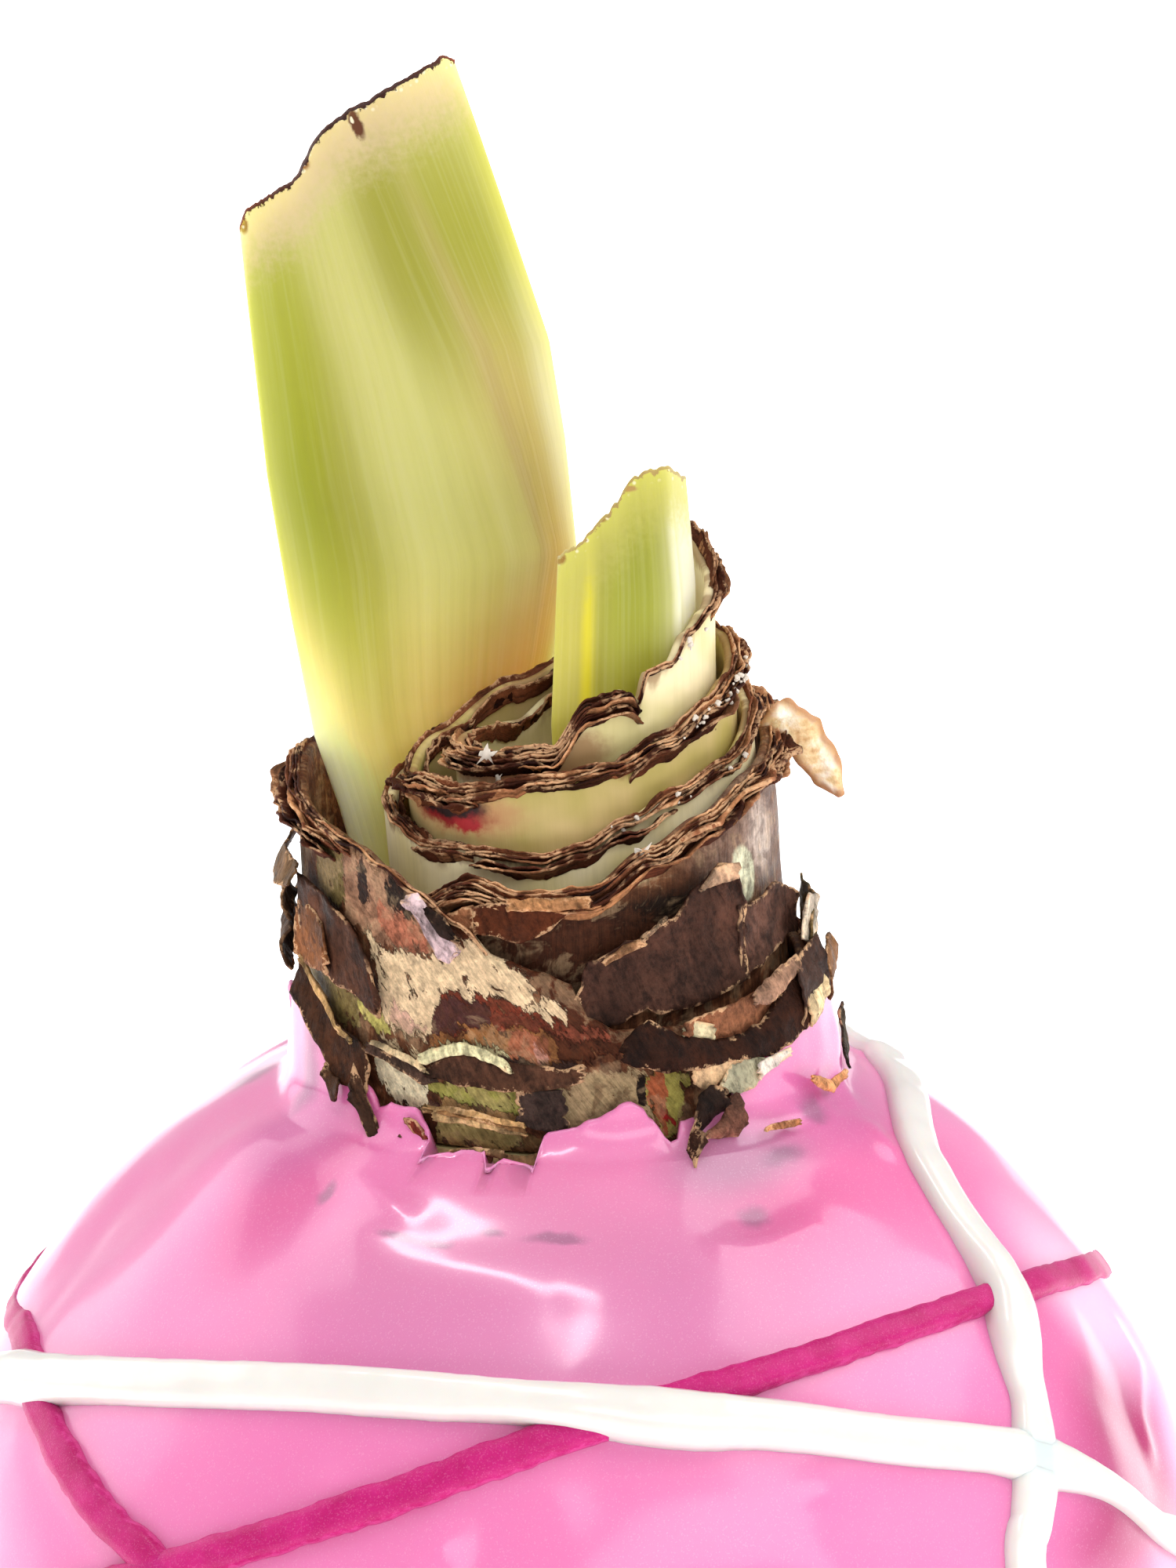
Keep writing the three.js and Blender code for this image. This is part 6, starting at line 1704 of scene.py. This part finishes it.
# ---- Loose strip ------------------------------------------------------------------------------------------
# A scrap of straw-coloured skin that has come loose at the rim and hangs out to the right.
LOOSE_ROUTE = [
    (16.9, 0.6, 113.7), (18, 0.8, 113.4), (19.5, 1.4, 111.7), (20.8, 2, 109.4), (21.8, 2.2, 107.1),
]
LOOSE_HALF_WIDTHS = along([
    (0, 1), (0.12, 1.5), (0.3, 1.4), (0.5, 1.6), (0.62, 1.45), (0.8, 1.3), (0.88, 0.8), (0.95, 0.35),
    (1, 0.1)])
LOOSE_WIDTH, LOOSE_LENGTH = 3, 8
loose_axes = [along([(i / 4, point[axis]) for i, point in enumerate(LOOSE_ROUTE)]) for axis in range(3)]


def loose_place(across, up):
    right, back, z = [axis(up) for axis in loose_axes]
    uneven = 1 + 0.2 * noise.noise(Vector((up * 9, across * 2, 0)))
    side = (2 * across - 1) * LOOSE_HALF_WIDTHS(up) * uneven
    cup = 0.4 * (1 - (2 * across - 1) ** 2) + 0.4 * noise.noise(Vector((up * 5, across * 2, 4)))
    return Vector((right + lean(z) + side * 0.62 + cup * 0.2, back - cup, z + side * 0.72))


def loose_grain(across, up):
    """The place on the strip, and how far it is from the edge."""
    near_side = min(across, 1 - across) * LOOSE_WIDTH
    near_end = min(up, 1 - up) * LOOSE_LENGTH
    return Vector((across * LOOSE_WIDTH, up * LOOSE_LENGTH, min(near_side, near_end)))


straw, tree, shader = finish("straw_skin", Roughness=0.6, Subsurface_Weight=0.2, Subsurface_Scale=0.6 * MM)
grain = grain_of(tree)
blotch = clouds(tree, place_of(tree), 1.3, 4.0)
colour = ramp(tree, blotch, [(0.3, 0xBE9058), (0.45, 0xE2C694), (0.62, 0xFBF1DC)])
near = sums(tree, "ADD", node(tree, "ShaderNodeSeparateXYZ", {0: grain}).outputs["Z"],
            span(tree, blotch, 0.3, 0.7, 0.2, -0.2))
colour = blend(tree, span(tree, near, 0.18, 0.85, 0.9, 0.0), colour, 0xB07A48)
tree.links.new(colour, shader.inputs["Base Color"])
rough_up(tree, shader, blotch, 0.3)
loose = thicken(bent_grid("loose_skin", 24, 48, loose_place, loose_grain), 0.25)
fit(loose, straw, "straw_tunic", "loose_strip")
